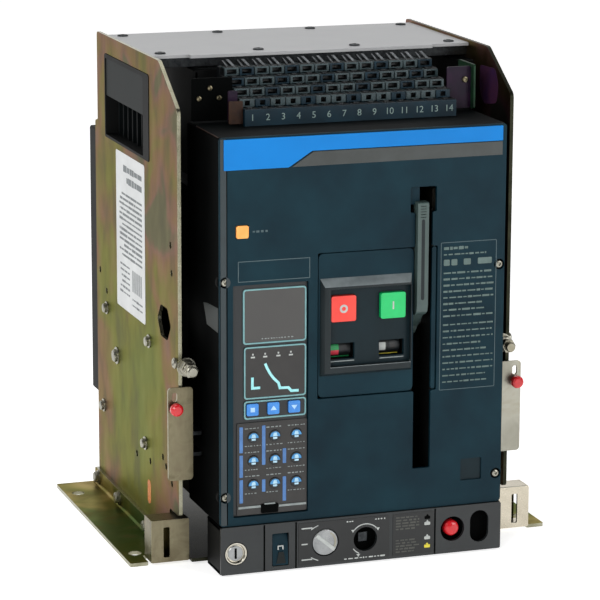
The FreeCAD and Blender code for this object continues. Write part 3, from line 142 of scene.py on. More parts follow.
def metal(name, stops, rough=0.3, patch=40, scratch=(1, 1, 1)):
    """Bare or plated metal: its tint drifts through the stops, with fine drawn scratches."""
    made, tree, shader, place = start(name)
    drift = add(tree, "ShaderNodeTexNoise", None,
                {"Vector": place, "Scale": per_metre(patch), "Detail": 4.0, "Roughness": 0.55,
                 "Distortion": 0.8})
    tint = add(tree, "ShaderNodeValToRGB", {"stops": stops}, {"Fac": drift.outputs["Fac"]})
    drawn = add(tree, "ShaderNodeMapping", None, {"Vector": place, "Scale": scratch})
    lines = add(tree, "ShaderNodeTexNoise", None,
                {"Vector": drawn.outputs["Vector"], "Scale": per_metre(1.2), "Detail": 3.0})
    bump = add(tree, "ShaderNodeBump", None,
               {"Strength": 0.05, "Distance": 0.1 * MM, "Height": lines.outputs["Fac"]})
    gloss = add(tree, "ShaderNodeMapRange", None,
                {"Value": lines.outputs["Fac"], "From Min": 0.3, "From Max": 0.7,
                 "To Min": rough - 0.06, "To Max": rough + 0.08})
    tree.links.new(tint.outputs["Color"], shader.inputs["Base Color"])
    tree.links.new(gloss.outputs["Result"], shader.inputs["Roughness"])
    tree.links.new(bump.outputs["Normal"], shader.inputs["Normal"])
    shader.inputs["Metallic"].default_value = 1.0
    return made


def chromated(name, stops, worn, centre, reach, cloud):
    """Zinc under a thin chromate film, whose thickness wanders in clouds and grows towards a
    centre (across Y and Z), so its tint runs through the stops; dull worn patches lie on it."""
    pull, dull = 0.55, 0.5
    made, tree, shader, place = start(name)
    drift = add(tree, "ShaderNodeTexNoise", None,
                {"Vector": place, "Scale": per_metre(cloud), "Detail": 2.5, "Roughness": 0.5,
                 "Distortion": 0.6})
    home = [-at * MM * per_metre(size) for at, size in zip((0, *centre), (1, *reach))]
    ball = add(tree, "ShaderNodeMapping", None, {
        "Vector": place, "Location": home, "Scale": (0, *[per_metre(size) for size in reach])})
    zone = add(tree, "ShaderNodeTexGradient", {"gradient_type": "SPHERICAL"},
               {"Vector": ball.outputs["Vector"]})
    film = add(tree, "ShaderNodeMath", {"operation": "MULTIPLY_ADD"})
    tree.links.new(zone.outputs["Fac"], film.inputs[0])
    film.inputs[1].default_value = pull
    tree.links.new(drift.outputs["Fac"], film.inputs[2])
    tint = add(tree, "ShaderNodeValToRGB", {"stops": stops}, {"Fac": film.outputs["Value"]})
    tall = add(tree, "ShaderNodeMapping", None, {"Vector": place, "Scale": (1, 1.4, 0.6)})
    rub = add(tree, "ShaderNodeTexNoise", None,
              {"Vector": tall.outputs["Vector"], "Scale": per_metre(26), "Detail": 3.0})
    bare = add(tree, "ShaderNodeMapRange", None,
               {"Value": rub.outputs["Fac"], "From Min": 0.5, "From Max": 0.68,
                "To Max": dull})
    shade = add(tree, "ShaderNodeMix", {"data_type": "RGBA"})
    for socket, value in ((0, bare.outputs["Result"]), (6, tint.outputs["Color"])):
        tree.links.new(value, shade.inputs[socket])
    shade.inputs[7].default_value = linear(worn)
    drawn = add(tree, "ShaderNodeMapping", None, {"Vector": place, "Scale": (1, 1, 0.12)})
    lines = add(tree, "ShaderNodeTexNoise", None,
                {"Vector": drawn.outputs["Vector"], "Scale": per_metre(1.2), "Detail": 3.0})
    bump = add(tree, "ShaderNodeBump", None,
               {"Strength": 0.04, "Distance": 0.1 * MM, "Height": lines.outputs["Fac"]})
    gloss = add(tree, "ShaderNodeMapRange", None,
                {"Value": rub.outputs["Fac"], "From Min": 0.3, "From Max": 0.7,
                 "To Min": 0.32, "To Max": 0.46})
    tree.links.new(shade.outputs[2], shader.inputs["Base Color"])
    tree.links.new(gloss.outputs["Result"], shader.inputs["Roughness"])
    tree.links.new(bump.outputs["Normal"], shader.inputs["Normal"])
    shader.inputs["Metallic"].default_value = 1.0
    shader.inputs["Specular Tint"].default_value = linear("DEDCC0")
    return made


# Yellow chromate on zinc: a film thin enough to colour by interference, grey and pink where
# it is thinnest near the rims, straw further in, olive where the bath stayed longest.
zinc_chromate = chromated("zinc_yellow_chromate", (
    (0.36, "55524E"), (0.43, "7A545A"), (0.51, "78584C"), (0.6, "6E6042"), (0.7, "686836"),
    (1.0, "606A3C")), "575651", (0, 122), (130, 150), 58)
# The same bath on the feet, where the film pooled: deep green between brown and straw ends.
zinc_green = chromated("zinc_olive_chromate", (
    (0.36, "A8946A"), (0.5, "8E8152"), (0.64, "6C683C"), (0.8, "4C5A34"), (1.0, "425A38")),
    "66553A", (-30, 5), (100, 140), 40)
# The bath's straw yellow on small folded brackets; on the left-hand corner bracket and rail this
# darker tone is also painted shade beside the paler zinc on the right.
zinc_straw_and_shade = metal("zinc_straw_chromate_and_shade", (
    (0.3, "665E4A"), (0.5, "7F7861"), (0.72, "746B57")), rough=0.34, patch=22,
    scratch=(1, 1, 0.1))
# Clear passivated zinc: a pale, slightly warm grey with a soft drawn lustre.
zinc_clear = metal("zinc_clear_passivated", (
    (0.3, "868478"), (0.55, "A2A094"), (0.75, "8E8874")), rough=0.34, scratch=(1, 1, 0.1))
# The same, almost white: painted highlight on the right-hand corner bracket.
zinc_pale_highlight = metal("zinc_painted_highlight", ((0.3, "B4AC9A"), (0.7, "CCC4B2")), rough=0.3)
# The same sheet's edges and floor where they stand in shadow.
zinc_shadow = metal("zinc_in_shadow", ((0.3, "24261E"), (0.7, "38382C")), rough=0.42, patch=20)
# The cut edge of the plated sheet: brighter than its faces, bare metal with a painted highlight.
cut_edge_highlight = metal("zinc_cut_edge_highlight", ((0.3, "8A8872"), (0.7, "A6A490")), rough=0.3, patch=12)
# Nickel plate on brass: bright, with a faint straw warmth.
nickel = metal("nickel_plate", ((0.3, "B9B3A4"), (0.7, "D6D2C6")), rough=0.2, patch=8)
# Machined and turned steel, oiled.
steel = metal("turned_steel", ((0.3, "8D8F90"), (0.7, "A6A8A8")), rough=0.32, patch=10)
# Black oxide on screws.
black_oxide = metal("black_oxide_steel", ((0.3, "2C2E30"), (0.7, "45484A")), rough=0.4, patch=5)
# Copper bar with a silver flash: pale, with copper showing through where it is handled.
copper = metal("silver_flashed_copper", (
    (0.3, "C98F6E"), (0.55, "D7B9A2"), (0.75, "CFC6BC")), rough=0.28, patch=26,
    scratch=(1, 0.1, 1))
# Bare copper, drawn and slightly browned.
bare_copper = metal("drawn_copper", ((0.3, "B46A44"), (0.7, "CB8960")), rough=0.3, patch=20)
# Spring steel wire, phosphated.
spring_wire = metal("phosphated_wire", ((0.3, "55585A"), (0.7, "74777A")), rough=0.36, patch=6)
# Polyester powder coat on the top sheet: light grey with a fine orange-peel skin.
powder_grey = moulded("powder_coat_light_grey", "AEAFB1", "B9BABB", rough=0.42, grain=1.6,
                      relief=0.15, patch=60)
# Textured polycarbonate blend of the front cover: dark blue grey.
cover_abs = moulded("front_cover_polycarbonate", "07202A", "0F2E38", rough=0.42, grain=0.8,
                    relief=0.12, patch=45, sheen=0.13)
# The same plastic, smoother, on the raised ridge; its darker copy inside the button well and the
# blind recess is painted shade.
ridge_abs = moulded("ridge_polycarbonate", "10191C", "172225", rough=0.4, patch=25, sheen=0.3)
well_shade = moulded("well_painted_shade", "08191F", "0C2026", rough=0.45, patch=25, sheen=0.2)
# The cover's outer lip, a shade lighter where the light catches its edge.
lip_abs = moulded("cover_lip_polycarbonate", "1E2A2E", "263337", rough=0.4, patch=25)
# Glass-filled polyester of the housings: near black, matt.
black_bmc = moulded("glass_filled_polyester", "030404", "070808", rough=0.6, grain=1.2,
                    relief=0.15, sheen=0.15)
# Smoke grey moulded cover plate seen in the side window; the same grey also paints shading on the
# padlock hasp's face.
smoke_grey_and_shading = moulded("smoke_grey_polyester_and_shading", "1A1E1E", "222626", rough=0.6, sheen=0.15)
# Racking panel: a neutral dark grey.
panel_abs = moulded("racking_panel_polycarbonate", "1E2122", "25292A", rough=0.42, grain=0.8,
                    relief=0.1)
# Legend plate let into the racking panel: darker and smoother, so its print stands out.
panel_dark = moulded("racking_panel_legend_plate", "121415", "181A1A", rough=0.35)
# Charging lever: lighter, greyer glass-filled nylon.
lever_nylon = moulded("charging_lever_nylon", "384846", "425350", rough=0.4, grain=0.7)
# Printed polyester overlay of the trip unit, brown grey.
overlay_grey = moulded("trip_unit_overlay", "1F1E1D", "292725", rough=0.33, grain=0.5,
                       patch=12)
# Trip unit's case: satin near-black behind the overlay.
trip_case = moulded("trip_unit_case", "12171A", "181D20", rough=0.4)
# Display window: unlit smoky acrylic with a clear, glossy skin.
screen_glass = moulded("display_window_acrylic", "201E1B", "2A2824", rough=0.16, grain=3,
                       relief=0.0, patch=18, coat=0.6)
# Screen inks: slightly satin, pale on the trip unit and barely lighter than the cover on it.
teal_ink = printed("teal_printed_line", "6A989C", "78A6A8", 0.4, 8)
curve_ink = printed("trip_curve_ink", "8FD8DC", "A5E6E8", 0.4, 8)
white_ink = printed("white_printed_mark", "A8ACAA", "BCC0BC")
grey_ink = printed("grey_printed_mark", "7C8484", "8E9694")
rating_ink = printed("rating_label_print", "4A5E5A", "5C706C")
faint_ink = printed("faint_printed_mark", "3B4F54", "4A5E62")
dim_ink = printed("panel_small_print", "3E3F3A", "4C4D47")
blue_ink = moulded("blue_printed_bar", "40699F", "5080BC", rough=0.4, patch=10)
yellow_ink = moulded("yellow_printed_mark", "CDBE2E", "E2D440", rough=0.4, patch=5)
orange_paint = moulded("orange_marking_paint", "C46A1E", "D98436", rough=0.5, patch=4)
paper_white = moulded("side_label_film", "CCCECE", "DADCDC", rough=0.45, grain=2, patch=30)
print_grey = moulded("side_label_print", "5E6466", "747A7C", rough=0.5, patch=6)
# Coloured operating parts: glossy mass-coloured plastics.
fascia_blue = moulded("fascia_blue", "0272BE", "047CCC", rough=0.42, patch=70, sheen=0.2)
signal_red = moulded("off_button_red", "E2352A", "EC4234", rough=0.34, patch=14, coat=0.08)
signal_green = moulded("on_button_green", "04B45E", "0AC26A", rough=0.34, patch=14, coat=0.08)
signal_orange = moulded("reset_button_orange", "F8A44C", "FFB25C", rough=0.3, patch=8)
knob_red = moulded("latch_knob_red", "C2141C", "D8202A", rough=0.22, patch=8, coat=0.3)
# Indicator flags and their drum: satin printed colours on a black barrel.
flag_green = moulded("flag_green", "128A48", "1C9C56", rough=0.4, patch=8)
flag_red = moulded("flag_red", "C8303E", "DA4656", rough=0.4, patch=8)
drum_black = moulded("flag_drum_black", "101214", "1A1D1F", rough=0.45, patch=8)
# Membrane keys and setting dials: soft satin blues with paler signs.
key_blue = moulded("membrane_key_blue", "2C78C8", "3E8CDC", rough=0.3, patch=6)
key_pale = moulded("membrane_key_symbol", "9CC4EC", "B4D6F4", rough=0.3, patch=6)
dial_blue = moulded("setting_dial_blue", "347CB4", "4C98D0", rough=0.32, patch=4)
dial_white = moulded("setting_dial_face", "98C0D8", "B8DCEC", rough=0.32, patch=4)
# Terminal block: dark teal polyamide, near-black walls, grey collars round the entries.
block_teal = moulded("terminal_block_polyamide", "05202C", "0A2C3A", rough=0.45, patch=20,
                     sheen=0.3)
block_dark = moulded("terminal_block_dark", "04070A", "080D10", rough=0.5, patch=20,
                     sheen=0.3)
block_frame = moulded("terminal_block_collar", "2E3E42", "3A4C50", rough=0.42, patch=10)
# Top slope of the ridge: a lighter satin grey, painted highlight where the light falls on it.
ridge_top_highlight = moulded("ridge_top_painted_highlight", "5E6668", "7A8284", rough=0.34, patch=14)
# Side walls and ledge of the breaker's case: matt, almost without reflection, and near black as
# painted shade.
wall_shade_black = moulded("case_wall_painted_shade", "010202", "030404", rough=0.75, sheen=0.05)
ledge_shade = moulded("case_ledge_painted_shade", "020506", "050A0B", rough=0.65, patch=30,
                     sheen=0.08)
# Grey under the fascia, painted shadow; the same grey paints the patch of light that falls
# through the side plate's sight hole onto the case's left wall.
grey_shadow_and_light = moulded("fascia_painted_shadow_and_wall_light", "2F3331", "393E3D", rough=0.42, patch=20)
# Thick chromate film in shadow, purple with green at its rim; the brown also paints a reflection
# along the case's top left edge.
film_purple = moulded("chromate_film_purple", "170C20", "2E1630", rough=0.45, patch=12,
                      sheen=0.2)
film_green = moulded("chromate_film_green", "0C2416", "1C4028", rough=0.45, patch=9, sheen=0.2)
film_painted_sheen = moulded("chromate_film_painted_sheen", "351D44", "48263C", rough=0.45, patch=12,
                      sheen=0.2)
film_brown_and_reflection = moulded("chromate_film_brown_and_reflection", "221818", "3C281C", rough=0.45, patch=9, sheen=0.2)
# Numbers on the terminal strip: soft grey green, a little worn.
digit_ink = printed("terminal_number_print", "7C928E", "92A8A2")
# Unlit depth behind openings: matt, with no reflection to give it away.
void_black = moulded("unlit_inside", "020303", "040505", rough=0.8, patch=20, sheen=0.05)

# ---- shape tools ----

# Flat outlines are drawn in u and v and stacked along w; these lay them across an axis,
# with u and v on the two other axes in their order.
LAY = {
    "x": Matrix(((0, 0, 1, 0), (1, 0, 0, 0), (0, 1, 0, 0), (0, 0, 0, 1))),
    "y": Matrix(((1, 0, 0, 0), (0, 0, 1, 0), (0, 1, 0, 0), (0, 0, 0, 1))),
    "z": Matrix.Identity(4),
}


def corners(node):
    """A CAD node's lowest and highest corner at rest, in millimetres."""
    low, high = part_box(node)
    return low / MM, high / MM


def polygon(points, radius=0.0):
    """Closed outline with its corners rounded."""
    def draw(sheet):
        ring = [sheet.verts.new((u, v, 0)) for u, v in points]
        sheet.faces.new(ring)
        if radius:
            bmesh.ops.bevel(sheet, geom=ring, offset=radius, offset_type="OFFSET", segments=6,
                            profile=0.5, affect="VERTICES", material=-1)
    return draw


def rectangle(left, right, low, high, radius=0.0):
    return polygon([(left, low), (right, low), (right, high), (left, high)], radius)


def around(u, v, wide, tall, radius=0.0):
    """Rectangle round a middle, from its half width and half height."""
    return rectangle(u - wide, u + wide, v - tall, v + tall, radius)


def front_of(low, high, inset, radius=0.0):
    """Front outline of a box between two corners, drawn in by an inset."""
    return rectangle(low.x + inset, high.x - inset, low.z + inset, high.z - inset, radius)


def disc(u, v, radius, sides=32):
    def draw(sheet):
        bmesh.ops.create_circle(sheet, cap_ends=True, radius=radius, segments=sides,
                                matrix=Matrix.Translation((u, v, 0)))
    return draw


def rod(radius, low, high):
    """Half outline of a plain round bar between two distances along its axis."""
    return [(0, low), (radius, low), (radius, high), (0, high)]


def stroke(points, width):
    """Outline of a bent line of an even width."""
    path = [Vector(point) for point in points]
    sides = ([], [])
    for number, point in enumerate(path):
        before = path[max(number - 1, 0)]
        after = path[min(number + 1, len(path) - 1)]
        into = (point - before) if number else (after - point)
        away = (after - point) if number < len(path) - 1 else (point - before)
        across = (into.normalized() + away.normalized()).orthogonal().normalized()
        reach = width / 2 / max(abs(across.dot(into.normalized().orthogonal())), 0.3)
        sides[0].append(point + across * reach)
        sides[1].append(point - across * reach)
    return polygon([tuple(point) for point in sides[0] + sides[1][::-1]])


class Shape:
    """The solids of one piece, in millimetres, each with its finish."""

    def __init__(self):
        self.mesh = bmesh.new()
        self.finishes = []

    def slot(self, finish):
        if finish not in self.finishes:
            self.finishes.append(finish)
        return self.finishes.index(finish)

    def take(self, part, finish, bevel=0.0, rim=None, axis=None):
        """Add one closed solid: normals outward, sharp edges eased, rim faces of their own."""
        bmesh.ops.remove_doubles(part, verts=part.verts, dist=0.0005)
        bmesh.ops.recalc_face_normals(part, faces=part.faces)
        if bevel:
            edges = [edge for edge in part.edges if edge.calc_face_angle(0) > BEND]
            bmesh.ops.bevel(part, geom=edges, offset=bevel, offset_type="OFFSET", segments=2,
                            profile=0.5, affect="EDGES", clamp_overlap=True, material=-1)
        for face in part.faces:
            if axis == "slope":
                on_rim = 0.3 < face.normal.z < 0.97
            else:
                on_rim = rim and abs(face.normal["xyz".index(axis)]) < 0.9
            face.material_index = self.slot(rim if on_rim else finish)
            face.smooth = True
        store = bpy.data.meshes.new("part")
        part.to_mesh(store)
        self.mesh.from_mesh(store)
        bpy.data.meshes.remove(store)
        part.free()

    def slab(self, axis, low, high, finish, outline, *holes, bevel=0.2, rim=None):
        """Plate between two levels along an axis, with openings right through it."""
        sheet = bmesh.new()
        for ring in (outline, *holes):
            ring(sheet)
        bmesh.ops.delete(sheet, geom=sheet.faces, context="FACES_ONLY")
        bmesh.ops.triangle_fill(sheet, edges=sheet.edges, use_beauty=True)
        grown = bmesh.ops.extrude_face_region(sheet, geom=sheet.faces)["geom"]
        top = [thing for thing in grown if isinstance(thing, bmesh.types.BMVert)]
        bmesh.ops.translate(sheet, verts=top, vec=(0, 0, high - low))
        bmesh.ops.transform(sheet, matrix=LAY[axis] @ Matrix.Translation((0, 0, low)),
                            verts=sheet.verts)
        self.take(sheet, finish, bevel, rim, axis)

    def mark(self, axis, level, finish, outline, *holes):
        """Printed mark: a thin sharp-edged plate between a level's two ends."""
        self.slab(axis, *level, finish, outline, *holes, bevel=0)

    def block(self, low, high, finish, bevel=0.3, turn=None):
        """Block between two corners."""
        low, high = Vector(low), Vector(high)
        place = Matrix.Translation((low + high) / 2) @ Matrix.Diagonal((*(high - low), 1))
        part = bmesh.new()
        bmesh.ops.create_cube(part, size=1, matrix=turn @ place if turn else place)
        self.take(part, finish, bevel)

    def turned(self, base, direction, outline, finish, sides=32, bevel=0.0):
        """Solid of revolution: outline is (radius, distance along the direction) points."""
        part = bmesh.new()
        ring = [part.verts.new((radius, 0, along)) for radius, along in outline]
        edges = [part.edges.new(pair) for pair in zip(ring, ring[1:])]
        bmesh.ops.spin(part, geom=ring + edges, cent=(0, 0, 0), axis=(0, 0, 1), dvec=(0, 0, 0),
                       angle=math.tau, steps=sides, use_merge=True)
        facing = Vector((0, 0, 1)).rotation_difference(Vector(direction)).to_matrix().to_4x4()
        place = Matrix.Translation(Vector(base)) @ facing
        bmesh.ops.transform(part, matrix=place, verts=part.verts)
        self.take(part, finish, bevel)

    def frame(self, rings, finish, lit_top, bevel):
        """Closed frame through rectangles, each (left, right, low, high, level along Y); the
        faces that slope upwards take the lit-top finish, a painted highlight."""
        part = bmesh.new()
        loops = []
        for left, right, low, high, level in rings:
            ends = ((left, low), (right, low), (right, high), (left, high))
            ring = [part.verts.new((x, level, z)) for x, z in ends]
            loops.append([part.edges.new(pair) for pair in zip(ring, ring[1:] + ring[:1])])
        for first, second in zip(loops, loops[1:] + loops[:1]):
            bmesh.ops.bridge_loops(part, edges=first + second)
        self.take(part, finish, bevel, lit_top, "slope")

    def coil(self, base, direction, radius, wire, pitch, turns, finish, steps=24, sides=10):
        """Round wire wound round a line."""
        part = bmesh.new()
        upright = Matrix.Translation((radius, 0, 0)) @ Matrix.Rotation(math.pi / 2, 4, "X")
        bmesh.ops.create_circle(part, cap_ends=True, radius=wire / 2, segments=sides,
                                matrix=upright)
        bmesh.ops.spin(part, geom=part.verts[:] + part.edges[:] + part.faces[:],
                       cent=(0, 0, 0), axis=(0, 0, 1), dvec=(0, 0, pitch / steps),
                       angle=math.tau * turns, steps=int(steps * turns))
        facing = Vector((0, 0, 1)).rotation_difference(Vector(direction)).to_matrix().to_4x4()
        bmesh.ops.transform(part, matrix=Matrix.Translation(Vector(base)) @ facing,
                            verts=part.verts)
        self.take(part, finish)

    def digits(self, text, u, v, level, height, finish):
        """Raised number on a face that looks to the front."""
        curve = bpy.data.curves.new("digits", "FONT")
        curve.body = text
        curve.size = height
        curve.align_x = "CENTER"
        curve.align_y = "CENTER"
        curve.extrude = 0.1
        holder = bpy.data.objects.new("digits", curve)
        store = bpy.data.meshes.new_from_object(holder)
        part = bmesh.new()
        part.from_mesh(store)
        for data, item in ((bpy.data.meshes, store), (bpy.data.objects, holder),
                           (bpy.data.curves, curve)):
            data.remove(item)
        place = Matrix.Translation((u, level, v)) @ Matrix.Rotation(math.pi / 2, 4, "X")
        bmesh.ops.transform(part, matrix=place, verts=part.verts)
        self.take(part, finish)


def piece(name, shape, body, *nodes, slot=None):
    """Finish a piece: to metres, at the origin, riding on its body."""
    bmesh.ops.scale(shape.mesh, vec=(MM, MM, MM), verts=shape.mesh.verts)
    mesh = bpy.data.meshes.new(name)
    shape.mesh.to_mesh(mesh)
    shape.mesh.free()
    mesh.set_sharp_from_angle(angle=SMOOTH)
    for finish in shape.finishes:
        mesh.materials.append(finish)
    made = bpy.data.objects.new(name, mesh)
    bpy.context.scene.collection.objects.link(made)
    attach(made, body)
    if nodes:
        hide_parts(*nodes)


def coat(node, finish):
    """A CAD node whose shape is right keeps its mesh and takes a finish."""
    mesh = frame["nodes"][node].data
    mesh.materials.clear()
    mesh.materials.append(finish)


OUT = (0, -1, 0)
UP = (0, 0, 1)


def screw(shape, base, direction, radius, height, finish):
    """Pan head with a round recess."""
    shape.turned(base, direction, [
        (0, 0), (radius, 0), (radius, height * 0.45), (radius * 0.85, height * 0.85),
        (radius * 0.5, height), (radius * 0.42, height * 0.98), (radius * 0.3, height * 0.45),
        (0, height * 0.4)], finish, sides=24)


# ---- cradle: side plates ----

side_low, side_high = corners("side_plate_right")
plate_in, plate_out = side_low.x, side_high.x
front_edge, rear_edge = side_low.y, side_high.y
plate_top = side_high.z
WINDOW = (-47, 87, 314, 385)
NOTCH = -98
BRACKET_TOP = 41
SIGHT = [(-105, 191.5), (-95.5, 178.5), (-76.5, 178.5), (-67, 191.5), (-76.5, 204.5),
         (-95.5, 204.5)]
PUNCHED = ((109, 195), (88, 180.5), (-2.5, 61), (-43, 65), (-80, 78.5), (-89, 73),
           (-105.5, 63), (-108, 236), (-105, 258))


def cradle_side(word, side):
    """Zinc-plated side sheet with its punched holes, vent window and moulded liner."""
    inner, outer = sorted((plate_in * side, plate_out * side))
    shape = Shape()
    # The left plate's rim takes the bright edge finish and the right plate's the zinc in shadow:
    # painted highlight and painted shade.
    shape.slab("x", inner, outer, zinc_chromate, polygon([
        (NOTCH, side_low.z), (NOTCH, BRACKET_TOP), (front_edge, BRACKET_TOP),
        (front_edge, plate_top - 32), (front_edge + 51, plate_top), (rear_edge - 8, plate_top),
        (rear_edge - 8, 324), (rear_edge, 324), (rear_edge, side_low.z)], 3),
        rectangle(*WINDOW, 3), polygon(SIGHT, 2.5),
        *[disc(y, z, 2.8, 20) for y, z in PUNCHED], bevel=0.35,
        rim=cut_edge_highlight if side < 0 else zinc_shadow)
    piece("cradle_side_" + word, shape, "cradle", "side_plate_" + word, slot="zinc_steel")

    liner = Shape()
    rear, front, low, high = WINDOW[1], WINDOW[0], WINDOW[2], WINDOW[3]
    face = (plate_out + 0.5) * side
    deep = (plate_in - 12) * side
    liner.slab("x", *sorted((face, deep)), black_bmc,
               rectangle(front + 0.3, rear - 0.3, low + 0.3, high - 0.3, 2.5),
               rectangle(front + 17, rear - 2.5, low + 2.5, high - 4, 1.5), bevel=0.4)
    sill = low + (high - low) * 0.5
    wall = sorted(((plate_out - 0.4) * side, (plate_out - 2) * side))
    liner.block((wall[0], front + 16, sill), (wall[1], rear - 1.5, high - 3), smoke_grey_and_shading)
    back = sorted(((plate_in - 11) * side, (plate_in - 13) * side))
    liner.block((back[0], front + 1, low + 1), (back[1], rear - 1, high - 1), void_black)
    rib = sorted(((plate_in - 6) * side, (plate_in - 11.5) * side))
    for number in range(8):
        at = front + 24 + number * 14
        liner.block((rib[0], at, low + 2), (rib[1], at + 3, sill), ledge_shade)
    piece("window_liner_" + word, liner, "cradle", slot="black_plastic")


for word, side in (("left", -1), ("right", 1)):
    cradle_side(word, side)


def print_lines(shape, axis, level, box, rows, finish, height=1.6, gaps=(2.0, 9.0)):
    """Rows of short blank bars, as unreadable small print, within a box of u and v. The bars'
    lengths lie within gaps, and half the rows end up to a quarter short."""
    left, right, low, high = box
    pitch = (high - low) / rows
    for row in range(rows):
        v = high - (row + 0.5) * pitch
        u = left
        end = right - (right - left) * 0.25 * chance.random() * (chance.random() < 0.5)
        while u < end:
            reach = chance.uniform(*gaps)
            stop = min(u + reach, end)
            if stop - u > 0.8:
                tall = height * chance.uniform(0.55, 1.0)
                shape.mark(axis, level, finish,
                           rectangle(u, stop, v - tall / 2, v + tall / 2))
            u = stop + chance.uniform(0.7, 1.6)


def side_label():
    """White maker's film on the left side plate, with blank rows and a bar code."""
    front, rear, low, high = -32, 54, 177, 309
    shape = Shape()
    face = -plate_out
    shape.slab("x", face - 0.2, face, paper_white, rectangle(front, rear, low, high, 2.5),
               bevel=0.05)
    level = (face - 0.26, face - 0.15)
    print_lines(shape, "x", level, (front + 8, rear - 18, high - 26, high - 8), 2, print_grey,
                height=7, gaps=(5, 16))
    print_lines(shape, "x", level, (front + 8, rear - 10, low + 44, high - 32), 13, print_grey,
                height=2.4, gaps=(4, 22))
    for bar in range(14):
        u = front + 10 + bar * 2.1
        shape.mark("x", level, print_grey,
                   rectangle(u, u + 0.7 + 0.7 * (bar % 3 == 0), low + 20, low + 38))
    print_lines(shape, "x", level, (front + 46, rear - 10, low + 12, low + 40), 6, print_grey,
                height=2.0, gaps=(4, 12))
    print_lines(shape, "x", level, (front + 8, front + 40, low + 6, low + 16), 2, print_grey,
                height=2.0, gaps=(4, 12))
    piece("side_label", shape, "cradle")

    mark = Shape()
    mark.slab("x", face - 0.12, face, orange_paint, rectangle(-44, -34.5, 28, 48, 4), bevel=0.03)
    piece("inspection_mark", mark, "cradle")


side_label()

# Purple patch on the right plate's inner face: the chromate film's own tint, brightened as
# painted light where the face lies in shade.
shade = Shape()
shade.slab("x", plate_in - 0.15, plate_in + 0.1, film_painted_sheen, polygon([
    (-60, 383), (-93, 384), (-100, 370), (-96, 356), (-70, 352), (-60, 360)], 4), bevel=0.05)
piece("inner_film_painted_sheen", shade, "cradle")

# ---- cradle: feet, corner brackets, floor ----


def foot(word, side):
    """Angle with a flat flange, its mounting holes and the bend between its two legs."""
    low, high = corners("foot_bracket_" + word)
    wall, reach = plate_out * side, (high.x if side > 0 else low.x)
    step = (plate_out + 23) * side
    shape = Shape()
    hole_x = (plate_out + 27) * side
    outline = [(wall, NOTCH), (step, NOTCH), (step, low.y), (reach, low.y), (reach, high.y),
               (wall, high.y)]
    shape.slab("z", 0, 3, zinc_green, polygon(outline, 1.5),
               *[disc(hole_x, y, 5.5, 28) for y in (-90, 90)],
               bevel=0.35, rim=cut_edge_highlight)
    inner, outer = sorted((wall, wall + 3 * side))
    shape.slab("x", inner, outer, zinc_green,
               polygon([(NOTCH, 0.4), (high.y, 0.4), (high.y, high.z), (NOTCH, high.z)], 2),
               bevel=0.35, rim=cut_edge_highlight)
    shape.turned((wall + 3 * side, NOTCH + 2, 3), (0, 1, 0),
                 rod(2.4, 0, high.y - NOTCH - 4), zinc_green, sides=24)
    piece("foot_" + word, shape, "cradle", "foot_bracket_" + word, slot="zinc_steel")


def front_corner(word, side, plate):
    """Folded corner bracket with an upright slot in its face."""
    low, high = corners("corner_bracket_" + word)
    shape = Shape()
    middle = (low.x + high.x) / 2 + 3 * side
    shape.slab("y", low.y, low.y + 2, plate, front_of(low, high, 0, 1.2),
               rectangle(middle - 2.6, middle + 2.6, low.z + 4, high.z - 6, 1), bevel=0.4,
               rim=cut_edge_highlight)
    for start_x in (low.x, high.x - 2):
        shape.block((start_x, low.y + 1, low.z), (start_x + 2, high.y, high.z), plate, 0.4)
    shape.block((low.x + 1, low.y + 1, low.z), (high.x - 1, high.y, low.z + 2), plate, 0.4)
    shape.block((low.x + 1, low.y + 1, high.z - 2), (high.x - 1, high.y, high.z), plate, 0.4)
    shape.block((low.x + 6, high.y - 3, low.z + 2), (high.x - 6, high.y - 2, high.z - 2),
                zinc_green)
    piece("front_corner_" + word, shape, "cradle", "corner_bracket_" + word, slot="bright_zinc")


# The right-hand corner takes the almost white zinc, painted highlight; the left one the darker
# straw, painted shade.
for word, side, plate in (("left", -1, zinc_straw_and_shade), ("right", 1, zinc_pale_highlight)):
    foot(word, side)
    front_corner(word, side, plate)
coat("floor_plate", zinc_shadow)
coat("top_cross_bars", black_oxide)

# ---- cradle: top plate ----

lid_low, lid_high = corners("top_cover_plate")
top_sheet = Shape()
tab_half = 104
top_sheet.slab("z", lid_low.z, lid_high.z, powder_grey, polygon([
    (lid_low.x, lid_high.y), (lid_low.x, lid_low.y + 5), (-tab_half, lid_low.y + 5),
    (-tab_half, lid_low.y), (tab_half, lid_low.y), (tab_half, lid_low.y + 5),
    (lid_high.x, lid_low.y + 5), (lid_high.x, lid_high.y)], 0.8), bevel=0.35)
top_sheet.block((lid_low.x + 2, lid_high.y - 2, lid_low.z - 14),
                (lid_high.x - 2, lid_high.y - 0.2, lid_low.z), powder_grey)
piece("top_plate", top_sheet, "cradle", "top_cover_plate", slot="grey_sheet")

# ---- cradle: fasteners ----

